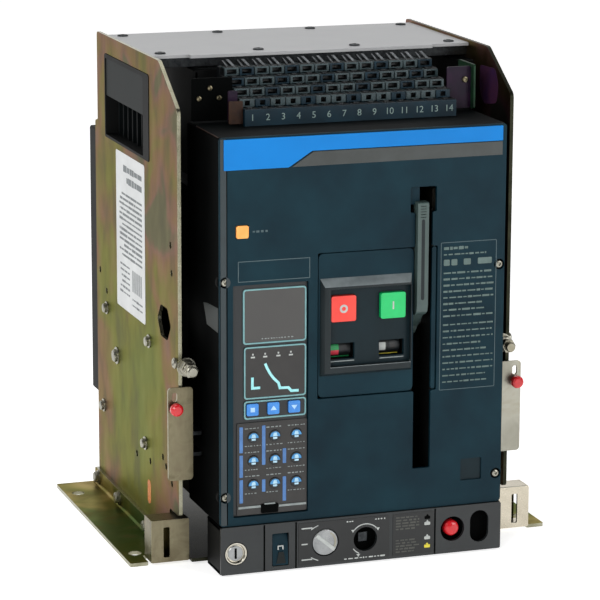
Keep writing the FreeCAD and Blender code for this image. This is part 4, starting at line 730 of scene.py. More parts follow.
RIVETS = ((88, 165.7, 5.6), (-42, 166, 5.6), (57, 131, 7.4), (101, 76.7, 5.6), (-29, 76.7, 5.6))
FOOT_BOLTS = (-64, -42, 44, 111)
fasteners = Shape()
for side in (-1, 1):
    away = (side, 0, 0)
    face = plate_out * side
    for y, z, radius in RIVETS:
        fasteners.turned((face, y, z), away, [
            (0, -1), (radius, -1), (radius, 0.9), (radius * 0.74, 1.1), (radius * 0.72, 3.0),
            (radius * 0.6, 3.8), (radius * 0.3, 4.1), (0, 4.1)], zinc_clear, sides=28)
    fasteners.turned((face, front_edge + 5, 166), away, [
        (0, -1), (4.4, -1), (4.4, 2), (3.4, 3), (2.2, 3), (1.6, 2.2), (0, 2)], zinc_clear)
    for y in FOOT_BOLTS:
        base = Vector(((plate_out + 3) * side, y, 9.8))
        fasteners.turned(base, away, rod(6, 0, 0.9), zinc_clear)
        fasteners.turned(base, away, [(0, 0.9), (4.9, 0.9), (4.9, 3.8), (4.2, 4.4), (0, 4.4)],
                         zinc_clear, sides=6, bevel=0.2)
    stud = Vector((134.5 * side, front_edge, 163.6))
    fasteners.turned(stud, OUT, rod(7.6, 0, 1.2), zinc_clear)
    fasteners.turned(stud, OUT, [(0, 1.2), (6.7, 1.2), (6.7, 6.6), (6.1, 7.2), (0, 7.2)],
                     zinc_clear, sides=6, bevel=0.3)
    fasteners.turned(stud, OUT, [(0, 7), (3.9, 7), (3.9, 19.3), (3.4, 20), (0, 20)], zinc_clear)
    fasteners.coil(stud + Vector((0, -7.8, 0)), OUT, 3.9, 1.0, 1.5, 7, zinc_clear, steps=16,
                   sides=6)
    fasteners.turned(stud, OUT, [(0, 11.5), (6.1, 11.5), (6.1, 15), (5.6, 15.5), (0, 15.5)],
                     zinc_clear, sides=6, bevel=0.3)
for y in (-23, 89):
    for x in (-124.5, -41.5, 41.5, 124.5):
        screw(fasteners, (x, y, lid_high.z), UP, 4.5, 1.4, black_oxide)
piece("cradle_fasteners", fasteners, "cradle", "frame_bolts", slot="steel")

# ---- cradle: rear wall and power terminals ----

wall_low, wall_high = corners("rear_housing")
POLES = (-70, 0, 70)
LEVELS = (250, 130)
POLE_HALF = 31
BAR_HALF, BAR_THICK = 25, 5
BAR_GAP = 0.3
rear_wall = Shape()


def bar_opening(x, z, radius=0.0):
    """Opening that clears a terminal bar all round."""
    return around(x, z, BAR_HALF + BAR_GAP, BAR_THICK + BAR_GAP, radius)


openings = [bar_opening(x, z) for x in POLES for z in LEVELS]
rear_wall.slab("y", wall_low.y, wall_high.y - 3, black_bmc,
               rectangle(wall_low.x, wall_high.x, wall_low.z + 3, wall_high.z, 2), *openings,
               bevel=0.5)
rear_wall.block((wall_low.x + 2, wall_low.y, wall_low.z), (wall_high.x - 2, wall_high.y - 14,
                                                           wall_low.z + 5), black_bmc)
for x in POLES:
    for z in LEVELS:
        rear_wall.slab("y", wall_high.y - 4, wall_high.y, black_bmc,
                       around(x, z, POLE_HALF, 11, 3), bar_opening(x, z), bevel=0.6)
for x in (-105, -35, 35, 105):
    rear_wall.block((x - 1.5, wall_high.y - 4, wall_low.z + 14),
                    (x + 1.5, wall_high.y, wall_high.z - 6), black_bmc, 0.5)
for x in (-130, 130):
    for z in (100, 190, 300):
        screw(rear_wall, (x, wall_high.y - 3, z), (0, 1, 0), 4.5, 2.6, zinc_clear)
piece("rear_wall", rear_wall, "cradle", "rear_housing", slot="black_plastic")

bar_low, bar_high = corners("power_terminals")
bars = Shape()
for x in POLES:
    for z in LEVELS:
        bars.slab("z", z - BAR_THICK, z + BAR_THICK, copper,
                  rectangle(x - BAR_HALF, x + BAR_HALF, bar_low.y, bar_high.y, 2.5),
                  *[disc(x + place, bar_high.y - 13, 5.5, 28) for place in (-12.5, 12.5)],
                  bevel=0.7)
piece("terminal_bars", bars, "cradle", "power_terminals", slot="copper")

# ---- racking panel ----

panel_low, panel_high = corners("racking_panel")
lock_low, lock_high = corners("key_lock_barrel")
tab_low, tab_high = corners("padlock_tab")
point_low, point_high = corners("position_pointer")
push_low, push_high = corners("racking_release_button")
lock = (lock_low + lock_high) / 2
tab = (tab_low + tab_high) / 2
pointer = (point_low + point_high) / 2
push = (push_low + push_high) / 2
CRANK = (2, 21)
STORE = (92.3, 108.3, 9, 35.6)
panel_face = panel_low.y

panel = Shape()
panel.slab("y", panel_face, panel_face + 3, panel_abs,
           front_of(panel_low, panel_high, 0, 1.5),
           disc(lock.x, lock.z, 9.6), disc(pointer.x, pointer.z, 11.4),
           disc(*CRANK, 10), disc(push.x, push.z, 10.3),
           rectangle(tab.x - 7, tab.x + 7, tab_low.z - 0.5, tab_high.z + 0.5, 1),
           rectangle(*STORE, 7.9), bevel=0.4)
for z in (panel_low.z, panel_high.z - 3):
    panel.block((panel_low.x, panel_face + 2, z), (panel_high.x, panel_high.y, z + 3), panel_abs)
for x in (panel_low.x, panel_high.x - 3):
    panel.block((x, panel_face + 2, panel_low.z), (x + 3, panel_high.y, panel_high.z), black_bmc)
for left, right in ((-54.5, 22.5), (25.5, 60.5)):
    holes = [disc(pointer.x, pointer.z, 11.4), disc(*CRANK, 10)] if left < 0 else []
    panel.slab("y", panel_face - 0.4, panel_face + 0.2, panel_dark,
               rectangle(left, right, panel_low.z + 2, panel_high.z - 2, 1), *holes, bevel=0.1)
for x in (-83, -56.5, 61.8):
    panel.block((x - 0.7, panel_face - 0.15, panel_low.z + 0.5),
                (x + 0.7, panel_face + 1, panel_high.z - 0.5), void_black, 0.1)
panel.slab("y", panel_face + 8, panel_face + 9, void_black, front_of(panel_low, panel_high, 4))
piece("racking_front", panel, "cradle", "racking_panel", slot="panel_plastic")

legend = Shape()
ink = (panel_face - 0.5, panel_face - 0.35)
for z, reach in ((34.5, 9), (21.4, 5), (8.5, 9)):
    legend.mark("y", ink, white_ink, rectangle(-52, -52 + reach, z - 0.5, z + 0.5))
legend.mark("y", ink, white_ink, stroke([(-44, 10), (-41.5, 8.5), (-38, 7)], 0.7))
legend.mark("y", ink, white_ink, stroke([(-44, 33), (-41.5, 34.5), (-38, 36)], 0.7))


def arc(centre, radius, first, last, steps=10):
    """Points along an arc, angles in degrees from the right, upwards."""
    turn = [math.radians(first + (last - first) * step / steps) for step in range(steps + 1)]
    return [(centre[0] + radius * math.cos(a), centre[1] + radius * math.sin(a)) for a in turn]


legend.mark("y", ink, white_ink, stroke(arc(CRANK, 12.6, 40, 140), 0.8))
legend.mark("y", ink, white_ink, stroke(arc(CRANK, 12.6, 215, 245, 4), 0.8))
for x, z in ((CRANK[0] - 10.6, CRANK[1] + 8.6), (CRANK[0] + 10.6, CRANK[1] + 8.6),
             (CRANK[0] - 6, CRANK[1] - 12)):
    legend.mark("y", ink, white_ink, polygon([(x - 1.6, z), (x + 1.6, z), (x, z - 2.4)]))
print_lines(legend, "y", ink, (-14, -5, 35.5, 38), 1, white_ink, height=1.3, gaps=(1, 3))
print_lines(legend, "y", ink, (10, 20, 35.5, 38), 1, white_ink, height=1.3, gaps=(1, 3))
print_lines(legend, "y", ink, (-16, 19, 4.6, 7), 1, white_ink, height=1.2, gaps=(1, 4))
print_lines(legend, "y", ink, (28, 48, 25, 37), 5, dim_ink, height=1.5, gaps=(2, 6))
print_lines(legend, "y", ink, (28, 48, 6, 18), 5, dim_ink, height=1.5, gaps=(2, 6))
for z, finish in ((34, void_black), (29, white_ink), (17, white_ink), (10, yellow_ink)):
    legend.mark("y", ink, finish, rectangle(52.5, 57.5, z - 1.4, z + 1.2, 0.8))
    legend.mark("y", ink, finish, polygon([(53.6, z + 1), (56.4, z + 1), (55, z + 3)]))
piece("panel_legend", legend, "cradle")

barrel = Shape()
lock_face = (lock.x, panel_face + 1, lock.z)
barrel.turned(lock_face, OUT, [
    (0, -30), (8.2, -30), (8.2, -3), (9.2, -3), (9.2, 0.4), (8.9, 0.9), (8.0, 0.9), (7.4, 0.3),
    (7.0, -1.2), (0, -1.2)], nickel, sides=48)
barrel.turned(lock_face, OUT, [(0, -1.4), (6.2, -1.4), (6.2, -0.5), (5.8, -0.2), (0, -0.2)],
              steel, sides=40)
barrel.block((lock.x - 0.8, panel_face + 0.6, lock.z - 4.2),
             (lock.x + 0.8, panel_face + 1.4, lock.z + 4.2), void_black, 0.1)
piece("lock_barrel", barrel, "lock_cylinder", "key_lock_barrel", slot="nickel")

hasp = Shape()
hasp.slab("x", tab_low.x, tab_high.x, cover_abs,
          polygon([(tab_low.y, tab_low.z), (tab_high.y, tab_low.z), (tab_high.y, tab_high.z),
                   (tab_low.y + 4, tab_high.z), (tab_low.y + 1, tab_high.z - 8)], 0.5),
          disc(tab.y, tab.z, 4.3), bevel=0.4)
mark_face = (tab_low.y - 0.1, tab_low.y + 0.3)
# Grey trapezoid low on the hasp's face: painted shading where the face dips towards its foot.
hasp.mark("y", mark_face, smoke_grey_and_shading, polygon([
    (tab_low.x + 3, tab_low.z + 1.5), (tab_high.x - 2, tab_low.z + 1.5),
    (tab_high.x - 4, tab_low.z + 11), (tab_low.x + 5, tab_low.z + 11)]))
hasp.slab("y", tab_low.y - 0.15, tab_low.y + 0.3, white_ink,
          stroke([(tab.x - 2, tab_low.z + 13), (tab.x - 2, tab_low.z + 16),
                  (tab.x + 2, tab_low.z + 16), (tab.x + 2, tab_low.z + 13)], 0.8), bevel=0)
piece("padlock_hasp", hasp, "padlock_slide", "padlock_tab", slot="steel")

hand = Shape()
hand.turned((pointer.x, panel_face + 9, pointer.z), OUT, [
    (0, 0), (11, 0), (11, 8.2), (10.4, 9.0), (9.6, 9.2), (0, 9.2)], steel, sides=48)
lean = math.radians(-40)
tilt = (Matrix.Translation((pointer.x, 0, pointer.z)) @ Matrix.Rotation(-lean, 4, "Y")
        @ Matrix.Translation((-pointer.x, 0, -pointer.z)))
hand.block((pointer.x - 10, panel_face - 1.5, pointer.z - 1.5),
           (pointer.x + 10, panel_face + 0.4, pointer.z + 1.5), white_ink, 0.3, tilt)
hand.slab("y", panel_face - 0.5, panel_face + 0.2, zinc_clear,
          stroke(arc((pointer.x, pointer.z), 8.6, -30, 60), 1.6), bevel=0.1)
piece("pointer_disc", hand, "pointer", "position_pointer", slot="nickel")

dome = Shape()
dome.turned((push.x, panel_face + 14, push.z), OUT, [
    (0, 0), (6.5, 0), (6.5, 10.5), (6.1, 12.0), (5.0, 13.2), (3.2, 13.9), (1.4, 14.1), (0, 14.1)],
    knob_red, sides=40)
piece("release_dome", dome, "release", "racking_release_button", slot="red_plastic")

screw_low, screw_high = corners("racking_screw")
spindle = Shape()
thread_start = screw_low.y + 18
spindle.turned((CRANK[0], screw_high.y, CRANK[1]), OUT,
               rod(5.1, 0, screw_high.y - thread_start), steel)
spindle.coil((CRANK[0], thread_start + 1.5, CRANK[1]), (0, 1, 0), 5.1, 1.7, 2.5,
             (screw_high.y - thread_start - 3) / 2.5, steel, steps=16, sides=6)
spindle.block((CRANK[0] - 4, screw_low.y, CRANK[1] - 4),
              (CRANK[0] + 4, thread_start + 1, CRANK[1] + 4), black_oxide, 0.6)
piece("racking_spindle", spindle, "screw", "racking_screw", slot="steel")
coat("racking_carriage", zinc_clear)

# ---- draw-out rails ----


def draw_rail(word, side, plate):
    """Channel with a rounded pull plate at its front and a red latch knob."""
    low, high = corners("rail_" + word)
    shape = Shape()
    span = sorted((150.5 * side, 130 * side))
    knob_x = 145 * side
    shape.slab("y", low.y, low.y + 2, plate, rectangle(*span, 72, 148, 3),
               disc(knob_x, 131.5, 2.7, 24), rectangle(knob_x - 2, knob_x + 2, 136.5, 144, 1.9),
               bevel=0.35, rim=cut_edge_highlight)
    web = sorted((137.6 * side, 134.6 * side))
    shape.slab("x", *web, zinc_clear, rectangle(low.y + 2, high.y, 90, 110, 1.5),
               rectangle(-100, -70, 97, 103, 2.9), rectangle(20, 50, 97, 103, 2.9), bevel=0.3)
    flange = sorted((121 * side, 135.5 * side))
    for z in (90, 107):
        shape.slab("z", z, z + 3, black_oxide, rectangle(*flange, low.y + 4, high.y, 1.2),
                   bevel=0.3)
    piece("draw_rail_" + word, shape, "%s_rail" % word, "rail_" + word, slot="bright_zinc")
    knob_low, knob_high = corners("rail_latch_" + word)
    knob = Shape()
    base = ((knob_low.x + knob_high.x) / 2, knob_high.y, (knob_low.z + knob_high.z) / 2)
    long = knob_high.y - knob_low.y
    knob.turned(base, OUT, rod(2.55, 0, long - 5), steel)
    knob.turned(base, OUT, [
        (0, long - 6), (4.4, long - 6), (5.2, long - 5.2), (5.2, long - 2.4), (4.6, long - 0.9),
        (3.2, long - 0.1), (0, long)], knob_red, sides=36)
    piece("latch_knob_" + word, knob, "%s_latch" % word, "rail_latch_" + word, slot="red_plastic")


# The left rail takes the darker straw zinc and the right the pale clear zinc: painted shade and
# painted light.
draw_rail("left", -1, zinc_straw_and_shade)
draw_rail("right", 1, zinc_clear)

# ---- breaker: front cover ----

cover_low, cover_high = corners("front_cover")
module_low, module_high = corners("button_module")
trip_low, trip_high = corners("trip_unit")
lever_low, lever_high = corners("charging_lever")
face = cover_low.y
SLOT = (42.4, 57.2)
SLOT_ENDS = (75.0, 304.5)
SCOOP = (38.4, 60.4, 284, 304.5)
COVER_SCREWS = [(x, z) for x in (-114.5, 114.5) for z in (65, 238)]
RESET = (-100.5, 277.3)
RESET_HALF = 5.4
MODULE = (-38.5, 61.8, 139, 256.5)
TRIP = (-108, -46, 48, 235)
BLIND = (84, 102, 61.5, 79.5)

left, right, low, high = MODULE
OPENING = [
    (left, low), (SLOT[0], low), (SLOT[0], SLOT_ENDS[0]), (SLOT[1], SLOT_ENDS[0]),
    (SLOT[1], low), (right, low), (right, high), (SLOT[1], high), (SLOT[1], SCOOP[2]),
    (SCOOP[1], SCOOP[2]), (SCOOP[1], SCOOP[3]), (SCOOP[0], SCOOP[3]), (SCOOP[0], SCOOP[2]),
    (SLOT[0], SCOOP[2]), (SLOT[0], high), (left, high)]
cover = Shape()
cover.slab("y", face, face + 3, cover_abs, front_of(cover_low, cover_high, 0, 3),
           rectangle(*TRIP, 1), polygon(OPENING, 1.2),
           around(*RESET, RESET_HALF, RESET_HALF, 1.2), rectangle(*BLIND, 1),
           *[disc(x, z, 4.4, 28) for x, z in COVER_SCREWS], bevel=0.9)
# Side walls of the case in the near-black wall finish: painted shade.
for x in (cover_low.x, cover_high.x - 3):
    cover.slab("x", x, x + 3, wall_shade_black,
               rectangle(face + 2.2, cover_high.y, cover_low.z + 1, cover_high.z - 1, 1.5),
               bevel=0.4)
# Top and bottom ledges in the dark ledge finish: painted shade.
for z in (cover_low.z, cover_high.z - 3):
    cover.slab("z", z, z + 3, ledge_shade,
               rectangle(cover_low.x + 1, cover_high.x - 1, face + 2.2, cover_high.y, 1.5),
               bevel=0.4)
# Floor of the blind recess, darker than the face: painted shade.
cover.slab("y", face + 1.4, face + 3, well_shade,
           rectangle(BLIND[0] - 1, BLIND[1] + 1, BLIND[2] - 1, BLIND[3] + 1), bevel=0)
cover.slab("y", face + 3.2, face + 5, cover_abs,
           rectangle(SCOOP[0] - 1, SCOOP[0] + 8.6, SCOOP[2] + 6, SCOOP[3] + 1, 1), bevel=0.3)
for x, z in COVER_SCREWS:
    cover.turned((x, face + 2.6, z), (0, 1, 0), rod(6, 0, 4), black_bmc)
LIP = (-118.2, -113.4)
cover.slab("y", face - 0.3, face + 0.2, lip_abs,
           rectangle(*LIP, cover_low.z + 1, cover_high.z - 1), disc(*COVER_SCREWS[0], 4.4),
           disc(*COVER_SCREWS[1], 4.4), bevel=0.2)
cover.block((LIP[1], face - 0.06, cover_low.z + 1), (LIP[1] + 0.9, face + 0.2, cover_high.z - 1),
            void_black, 0)
# Thin brown bead along the case's top left edge: painted reflection of the zinc side plate.
cover.block((cover_low.x + 0.2, face + 4, cover_high.z - 0.5),
            (cover_low.x + 1.3, face + 62, cover_high.z), film_brown_and_reflection, 0.2)
# Six-sided grey patch on the case's left wall: painted light, where the lamp shines through the
# side plate's sight hole.
cover.slab("x", cover_low.x - 0.12, cover_low.x + 0.2, grey_shadow_and_light, polygon([
    (-121.7, 214.2), (-133.8, 216), (-160.1, 217.3), (-159.9, 197.8), (-130.9, 198.5),
    (-127, 205.7)]), bevel=0.05)
piece("breaker_cover", cover, "breaker", "front_cover", slot="cover_plastic")

heads = Shape()
for x, z in COVER_SCREWS:
    screw(heads, (x, face + 2.7, z), OUT, 3.1, 3.0, zinc_clear)
piece("cover_screw_heads", heads, "breaker", "cover_screws", slot="steel")

fascia_low, fascia_high = corners("fascia_strip")
DEEP_END, SLOPE_END = -63, -44
THIN = 338
band = Shape()
band.slab("y", fascia_low.y, fascia_high.y, fascia_blue, polygon([
    (fascia_low.x, fascia_high.z), (fascia_low.x, fascia_low.z), (DEEP_END, fascia_low.z),
    (SLOPE_END, THIN), (fascia_high.x, THIN), (fascia_high.x, fascia_high.z)], 0.6), bevel=0.25)
piece("fascia_band", band, "breaker", "fascia_strip", slot="blue_plastic")
# Grey strip under the thin end of the fascia: painted shadow.
under = Shape()
under.slab("y", face - 0.35, face + 0.1, grey_shadow_and_light, polygon([
    (DEEP_END + 3, fascia_low.z), (SLOPE_END + 1.5, THIN - 0.8), (fascia_high.x, THIN - 0.8),
    (fascia_high.x, fascia_low.z + 0.5)]), bevel=0.1)
piece("fascia_shadow_strip", under, "breaker")

marks = Shape()
ink = (face - 0.12, face + 0.05)
print_lines(marks, "y", ink, (-92, -79, 275.5, 278.5), 1, faint_ink, height=1.8, gaps=(1.2, 2.5))
marks.mark("y", ink, faint_ink, rectangle(-104, -45, 237.5, 254),
           rectangle(-103.4, -45.6, 238.1, 253.4))
LABEL = (64.4, 112, 138, 258.5)
marks.mark("y", ink, faint_ink, rectangle(*LABEL, 1),
           rectangle(LABEL[0] + 0.5, LABEL[1] - 0.5, LABEL[2] + 0.5, LABEL[3] - 0.5, 0.7))
print_lines(marks, "y", ink, (67, 92, 251, 256), 1, rating_ink, height=2.6, gaps=(2, 5))
print_lines(marks, "y", ink, (67, 107, 246.5, 250.5), 1, rating_ink, gaps=(2, 5))
for x, wide in ((67, 5), (73.5, 5), (84, 6), (96, 12)):
    marks.mark("y", ink, rating_ink, rectangle(x, x + wide, 239.5, 244.5, 0.8))
print_lines(marks, "y", ink, (67, 110, 196, 236), 8, rating_ink, height=1.7, gaps=(2, 7))
print_lines(marks, "y", ink, (67, 110, 142, 194), 10, rating_ink, height=1.5, gaps=(1.5, 6))
piece("cover_print", marks, "breaker")

# ---- breaker: button module ----

OFF_X, ON_X = -17.9, 23.6
BUTTON_Z, FLAG_Z = 211.4, 176.5
RIDGE = (-36.5, 40.6, 157, 236)
WELL = (-29, 38.8, 165, 227.5)
module_face = face + 1
ridge_face = module_low.y
windows = []
for x in (OFF_X, ON_X):
    windows.append(around(x, BUTTON_Z, 10.7, 10.7, 1.5))
    windows.append(around(x, FLAG_Z, 10.5, 6.5, 0.8))
module = Shape()
left, right, low, high = MODULE
module.slab("y", module_face, module_face + 2.5, cover_abs,
            rectangle(left + 0.9, SLOT[0] - 0.4, low + 0.9, high - 0.9, 4),
            *windows, bevel=0.7)
module.slab("y", module_face, module_face + 2.5, cover_abs,
            rectangle(SLOT[1] + 0.2, right - 0.9, low + 0.9, high - 0.9, 1.6), bevel=0.6)
# The ridge's upward slopes take the lighter top finish: painted highlight.
module.frame((
    (*RIDGE, module_face + 0.2),
    (RIDGE[0] + 2.6, RIDGE[1] - 2.6, RIDGE[2] + 3, RIDGE[3] - 6.5, ridge_face),
    (*WELL, ridge_face), (*WELL, module_face + 0.2)), ridge_abs, ridge_top_highlight, bevel=0.5)
# Floor of the button well, darker than its surround: painted shade.
module.slab("y", module_face - 0.4, module_face + 0.4, well_shade,
            rectangle(WELL[0] - 1, WELL[1] + 1, WELL[2] - 1, WELL[3] + 1), *windows, bevel=0)
module.slab("y", module_face + 2.2, module_high.y, black_bmc,
            rectangle(left + 0.9, SLOT[0] - 0.4, low + 0.9, high - 0.9, 4), *windows, bevel=0.3)
for x in (OFF_X, ON_X):
    module.slab("y", module_face - 0.55, module_face - 0.3, grey_ink,
                rectangle(x - 10.2, x + 10.2, FLAG_Z - 8.4, FLAG_Z - 7.6), bevel=0)
piece("button_surround", module, "breaker", "button_module", slot="cover_plastic")

slot_walls = Shape()
for x in (SLOT[0] - 1.6, SLOT[1] + 0.2):
    slot_walls.block((x, face + 3.4, SLOT_ENDS[0] - 2), (x + 1.4, face + 24, SLOT_ENDS[1] - 18),
                     black_bmc)
slot_walls.block((SLOT[0] - 3, face + 60, SLOT_ENDS[0] - 2),
                 (SLOT[1] + 3, face + 62, SLOT_ENDS[1] + 2), void_black)
piece("lever_slot_walls", slot_walls, "breaker")


def push_cap(name, body, node, finish, slot, *sign):
    """Square push button, its front edges softly rounded, with a raised sign if it has one."""
    low, high = corners(node)
    shape = Shape()
    shape.slab("y", low.y, high.y, finish, front_of(low, high, 0, 1.6), bevel=1.0)
    if sign:
        shape.slab("y", low.y - 0.25, low.y + 0.3, white_ink, *sign, bevel=0.1)
    piece(name, shape, body, node, slot=slot)


push_cap("off_push_cap", "off_push", "off_button", signal_red, "red_plastic",
         disc(OFF_X, BUTTON_Z, 3.4), disc(OFF_X, BUTTON_Z, 1.7))
push_cap("on_push_cap", "on_push", "on_button", signal_green, "green_plastic",
         around(ON_X, BUTTON_Z, 0.6, 3.2))
push_cap("reset_push_cap", "reset_push", "reset_button", signal_orange, "orange_plastic")


def flag_drum(name, body, node, sectors):
    """Indicator drum: coloured plates on its rim, on a black barrel."""
    low, high = corners(node)
    middle = (low + high) / 2
    radius = (high.z - low.z) / 2
    shape = Shape()
    shape.turned((low.x, middle.y, middle.z), (1, 0, 0),
                 rod(radius - 0.5, 0, high.x - low.x), drum_black, sides=40)
    for left, right, first, last, finish in sectors:
        ends = arc((middle.y, middle.z), radius, first, last)
        inner = arc((middle.y, middle.z), radius - 0.8, last, first)
        shape.slab("x", low.x + left, low.x + right, finish, polygon(ends + inner), bevel=0)
    piece(name, shape, body, node, slot="black_plastic")


flag_drum("state_drum_flags", "state_drum", "open_closed_flag",
          ((0.5, 9, 152, 183, flag_green), (0.5, 9, 184, 212, flag_red),
           (9.5, 18.5, 230, 262, flag_green), (0.5, 9, 230, 262, flag_green)))
flag_drum("charge_drum_flags", "charge_drum", "spring_charged_flag",
          ((0.5, 7, 160, 205, white_ink), (9.5, 18.5, 150, 205, trip_case),
           (11, 15, 165, 198, overlay_grey), (0.5, 18.5, 240, 262, yellow_ink)))

# ---- breaker: charging lever, shafts and mechanism ----

lever = Shape()
HUB = (-134, 192)
lever.slab("x", lever_low.x, lever_high.x, lever_nylon, polygon([
    (lever_low.y, lever_high.z - 0.5), (lever_low.y, 210), (lever_low.y + 1.5, 204),
    (lever_low.y + 6, 201), (lever_low.y + 10, 200), (HUB[0] - 8, HUB[1] - 8),
    (HUB[0] + 8, HUB[1] + 6),
    (lever_low.y + 11, 210), (lever_low.y + 11, lever_high.z - 0.5)], 1.5),
    bevel=1.3)
lever.slab("x", lever_low.x + 0.4, lever_high.x - 0.4, lever_nylon, disc(*HUB, 12.8),
           disc(*HUB, 6.1), bevel=0.5)
lever.slab("y", lever_low.y - 0.05, lever_low.y + 1, ridge_abs,
           rectangle(lever_low.x + 3.2, lever_high.x - 3.2, 214, lever_high.z - 14, 1.3),
           bevel=0.1)
for row in range(5):
    lever.block((lever_low.x + 2, lever_low.y, lever_high.z - 4 - row * 2.2),
                (lever_high.x - 2, lever_low.y + 1, lever_high.z - 3 - row * 2.2), ridge_abs, 0.2)
piece("charging_handle", lever, "lever", "charging_lever", slot="cover_plastic")

coat("cam_shaft", steel)
coat("main_shaft", steel)
coat("mechanism_frame", zinc_clear)
coat("moving_contacts", bare_copper)
coat("fixed_contacts", copper)

spring_low, spring_high = corners("closing_spring")
centre = (spring_low + spring_high) / 2
helix = Shape()
wire = 3.0
turns = 9
rise = (spring_high.z - spring_low.z - wire) / turns
helix.coil((centre.x, centre.y, spring_low.z + wire / 2), UP, 11 - wire / 2, wire, rise, turns,
           spring_wire)
piece("closing_coil", helix, "breaker", "closing_spring", slot="steel")

# ---- breaker: trip unit ----

trip = Shape()
trip_face = trip_low.y
FIELD = (-104.5, -46.4, 49, 124)
SCREEN = (-99.3, -47.3, 187.2, 231.2)
CURVE = (-98.6, -47.3, 143, 185)
KEYS = (-98.6, -47.3, 126.8, 141.6)
KEY_X = [-74.6 + 17.2 * step for step in (-1, 0, 1)]
KEY_Z = 134.6
DIALS = [(-73.2 + 17.8 * column, 92.8 + 19.4 * row) for row in (1, 0, -1)
         for column in (-1, 0, 1)]
key_holes = [around(x, KEY_Z, 5, 5, 0.6) for x in KEY_X]
dial_holes = [disc(x, z, 4.75, 28) for x, z in DIALS]
trip.slab("y", trip_face + 1.2, trip_face + 4, trip_case,
          front_of(trip_low, trip_high, 0, 0.8), *key_holes, *dial_holes, bevel=0.3)
trip.slab("y", trip_face + 5, trip_high.y, trip_case, front_of(trip_low, trip_high, 1, 1))
trip.slab("y", trip_face + 0.2, trip_face + 1.3, overlay_grey, rectangle(*FIELD, 1),
          *dial_holes, bevel=0.15)
trip.slab("y", trip_face + 0.4, trip_face + 1.3, overlay_grey, rectangle(*CURVE, 2), bevel=0.1)
trip.slab("y", trip_face + 0.5, trip_face + 1.3, trip_case, rectangle(*KEYS, 2), *key_holes,
          bevel=0.1)


def inset(box, by):
    return box[0] + by, box[1] - by, box[2] + by, box[3] - by


for box in (SCREEN, CURVE, KEYS):
    trip.slab("y", trip_face, trip_face + 1.3, teal_ink, rectangle(*box, 2.4),
              rectangle(*inset(box, 1.2), 1.6), bevel=0.15)
ink = (trip_face + 0.15, trip_face + 0.5)
trip.mark("y", ink, curve_ink, stroke([(-91.7, 160.5), (-91.7, 151.8), (-85.3, 151.8)], 2.1))
trip.mark("y", ink, curve_ink, stroke([
    (-81.2, 171), (-79.6, 167.2), (-77.4, 163), (-74.4, 158.8), (-70.2, 154.6), (-69, 150.4),
    (-62, 150.2), (-59.6, 147.4), (-53.5, 147.3)], 2.1))
for x in (-91.3, -81.2, -70.3, -60):
    trip.mark("y", ink, white_ink, rectangle(x - 1.6, x + 1.6, 176, 177.2))
    trip.mark("y", ink, white_ink, rectangle(x - 0.6, x + 0.6, 178.2, 179.6))
ink = (trip_face + 0.05, trip_face + 0.4)
for x, spans in ((-101, ((59, 78), (80, 98), (100, 121))), (-82.4, ((67, 77), (89, 121))),
                 (-65.2, ((58, 78), (89, 101)))):
    for low_z, high_z in spans:
        trip.mark("y", ink, blue_ink, rectangle(x - 1.4, x + 1.4, low_z, high_z, 0.4))
for x, z in DIALS:
    print_lines(trip, "y", ink, (x - 7, x + 7, z + 6, z + 8.4), 1, grey_ink, height=1.0,
                gaps=(1, 3))
    print_lines(trip, "y", ink, (x - 7, x + 7, z - 8, z - 6), 1, grey_ink, height=0.8,
                gaps=(0.8, 2))
trip.slab("y", trip_face - 0.6, trip_face + 0.8, grey_ink,
          rectangle(FIELD[0] + 1, -85, 54.4, 56.2), bevel=0.2)
trip.slab("y", trip_face - 0.6, trip_face + 0.8, grey_ink,
          rectangle(-70, FIELD[1] - 0.6, 53.6, 55.4), bevel=0.2)
trip.slab("y", trip_face - 0.8, trip_face + 0.8, void_black,
          rectangle(-84.5, -70.5, 49.5, 57, 0.8), bevel=0.2)
trip.slab("y", trip_face - 0.9, trip_face + 0.8, grey_ink, rectangle(-82, -73, 56.6, 57.6),
          bevel=0.1)
piece("trip_unit_face", trip, "breaker", "trip_unit", slot="panel_plastic")

pane = Shape()
pane.slab("y", trip_face + 0.5, trip_face + 1.4, screen_glass,
          rectangle(*inset(SCREEN, 0.8), 1.6), bevel=0.15)
print_lines(pane, "y", (trip_face + 0.42, trip_face + 0.6), (-84, -57, 189.6, 192.4), 1,
            grey_ink, height=1.1, gaps=(0.8, 1.6))
piece("display_pane", pane, "breaker", "display_window", slot="screen_pane")


def membrane_key(word, x, sign):
    low, high = corners("key_" + word)
    shape = Shape()
    shape.slab("y", low.y, high.y, key_blue, front_of(low, high, 0, 1.2), bevel=0.4)
    shape.slab("y", low.y - 0.1, low.y + 0.2, key_pale, polygon(
        [(x + u, KEY_Z + v) for u, v in sign]), bevel=0)
    piece("membrane_key_" + word, shape, "%s_key" % word, "key_" + word, slot="key_plastic")


UP_SIGN = ((-2.6, -1.4), (2.6, -1.4), (0, 2.2))
SIGNS = (((-1.8, -1.8), (1.8, -1.8), (1.8, 1.8), (-1.8, 1.8)), UP_SIGN,
         tuple((-u, -v) for u, v in UP_SIGN))
for word, x, sign in zip(("left", "middle", "right"), KEY_X, SIGNS):
    membrane_key(word, x, sign)

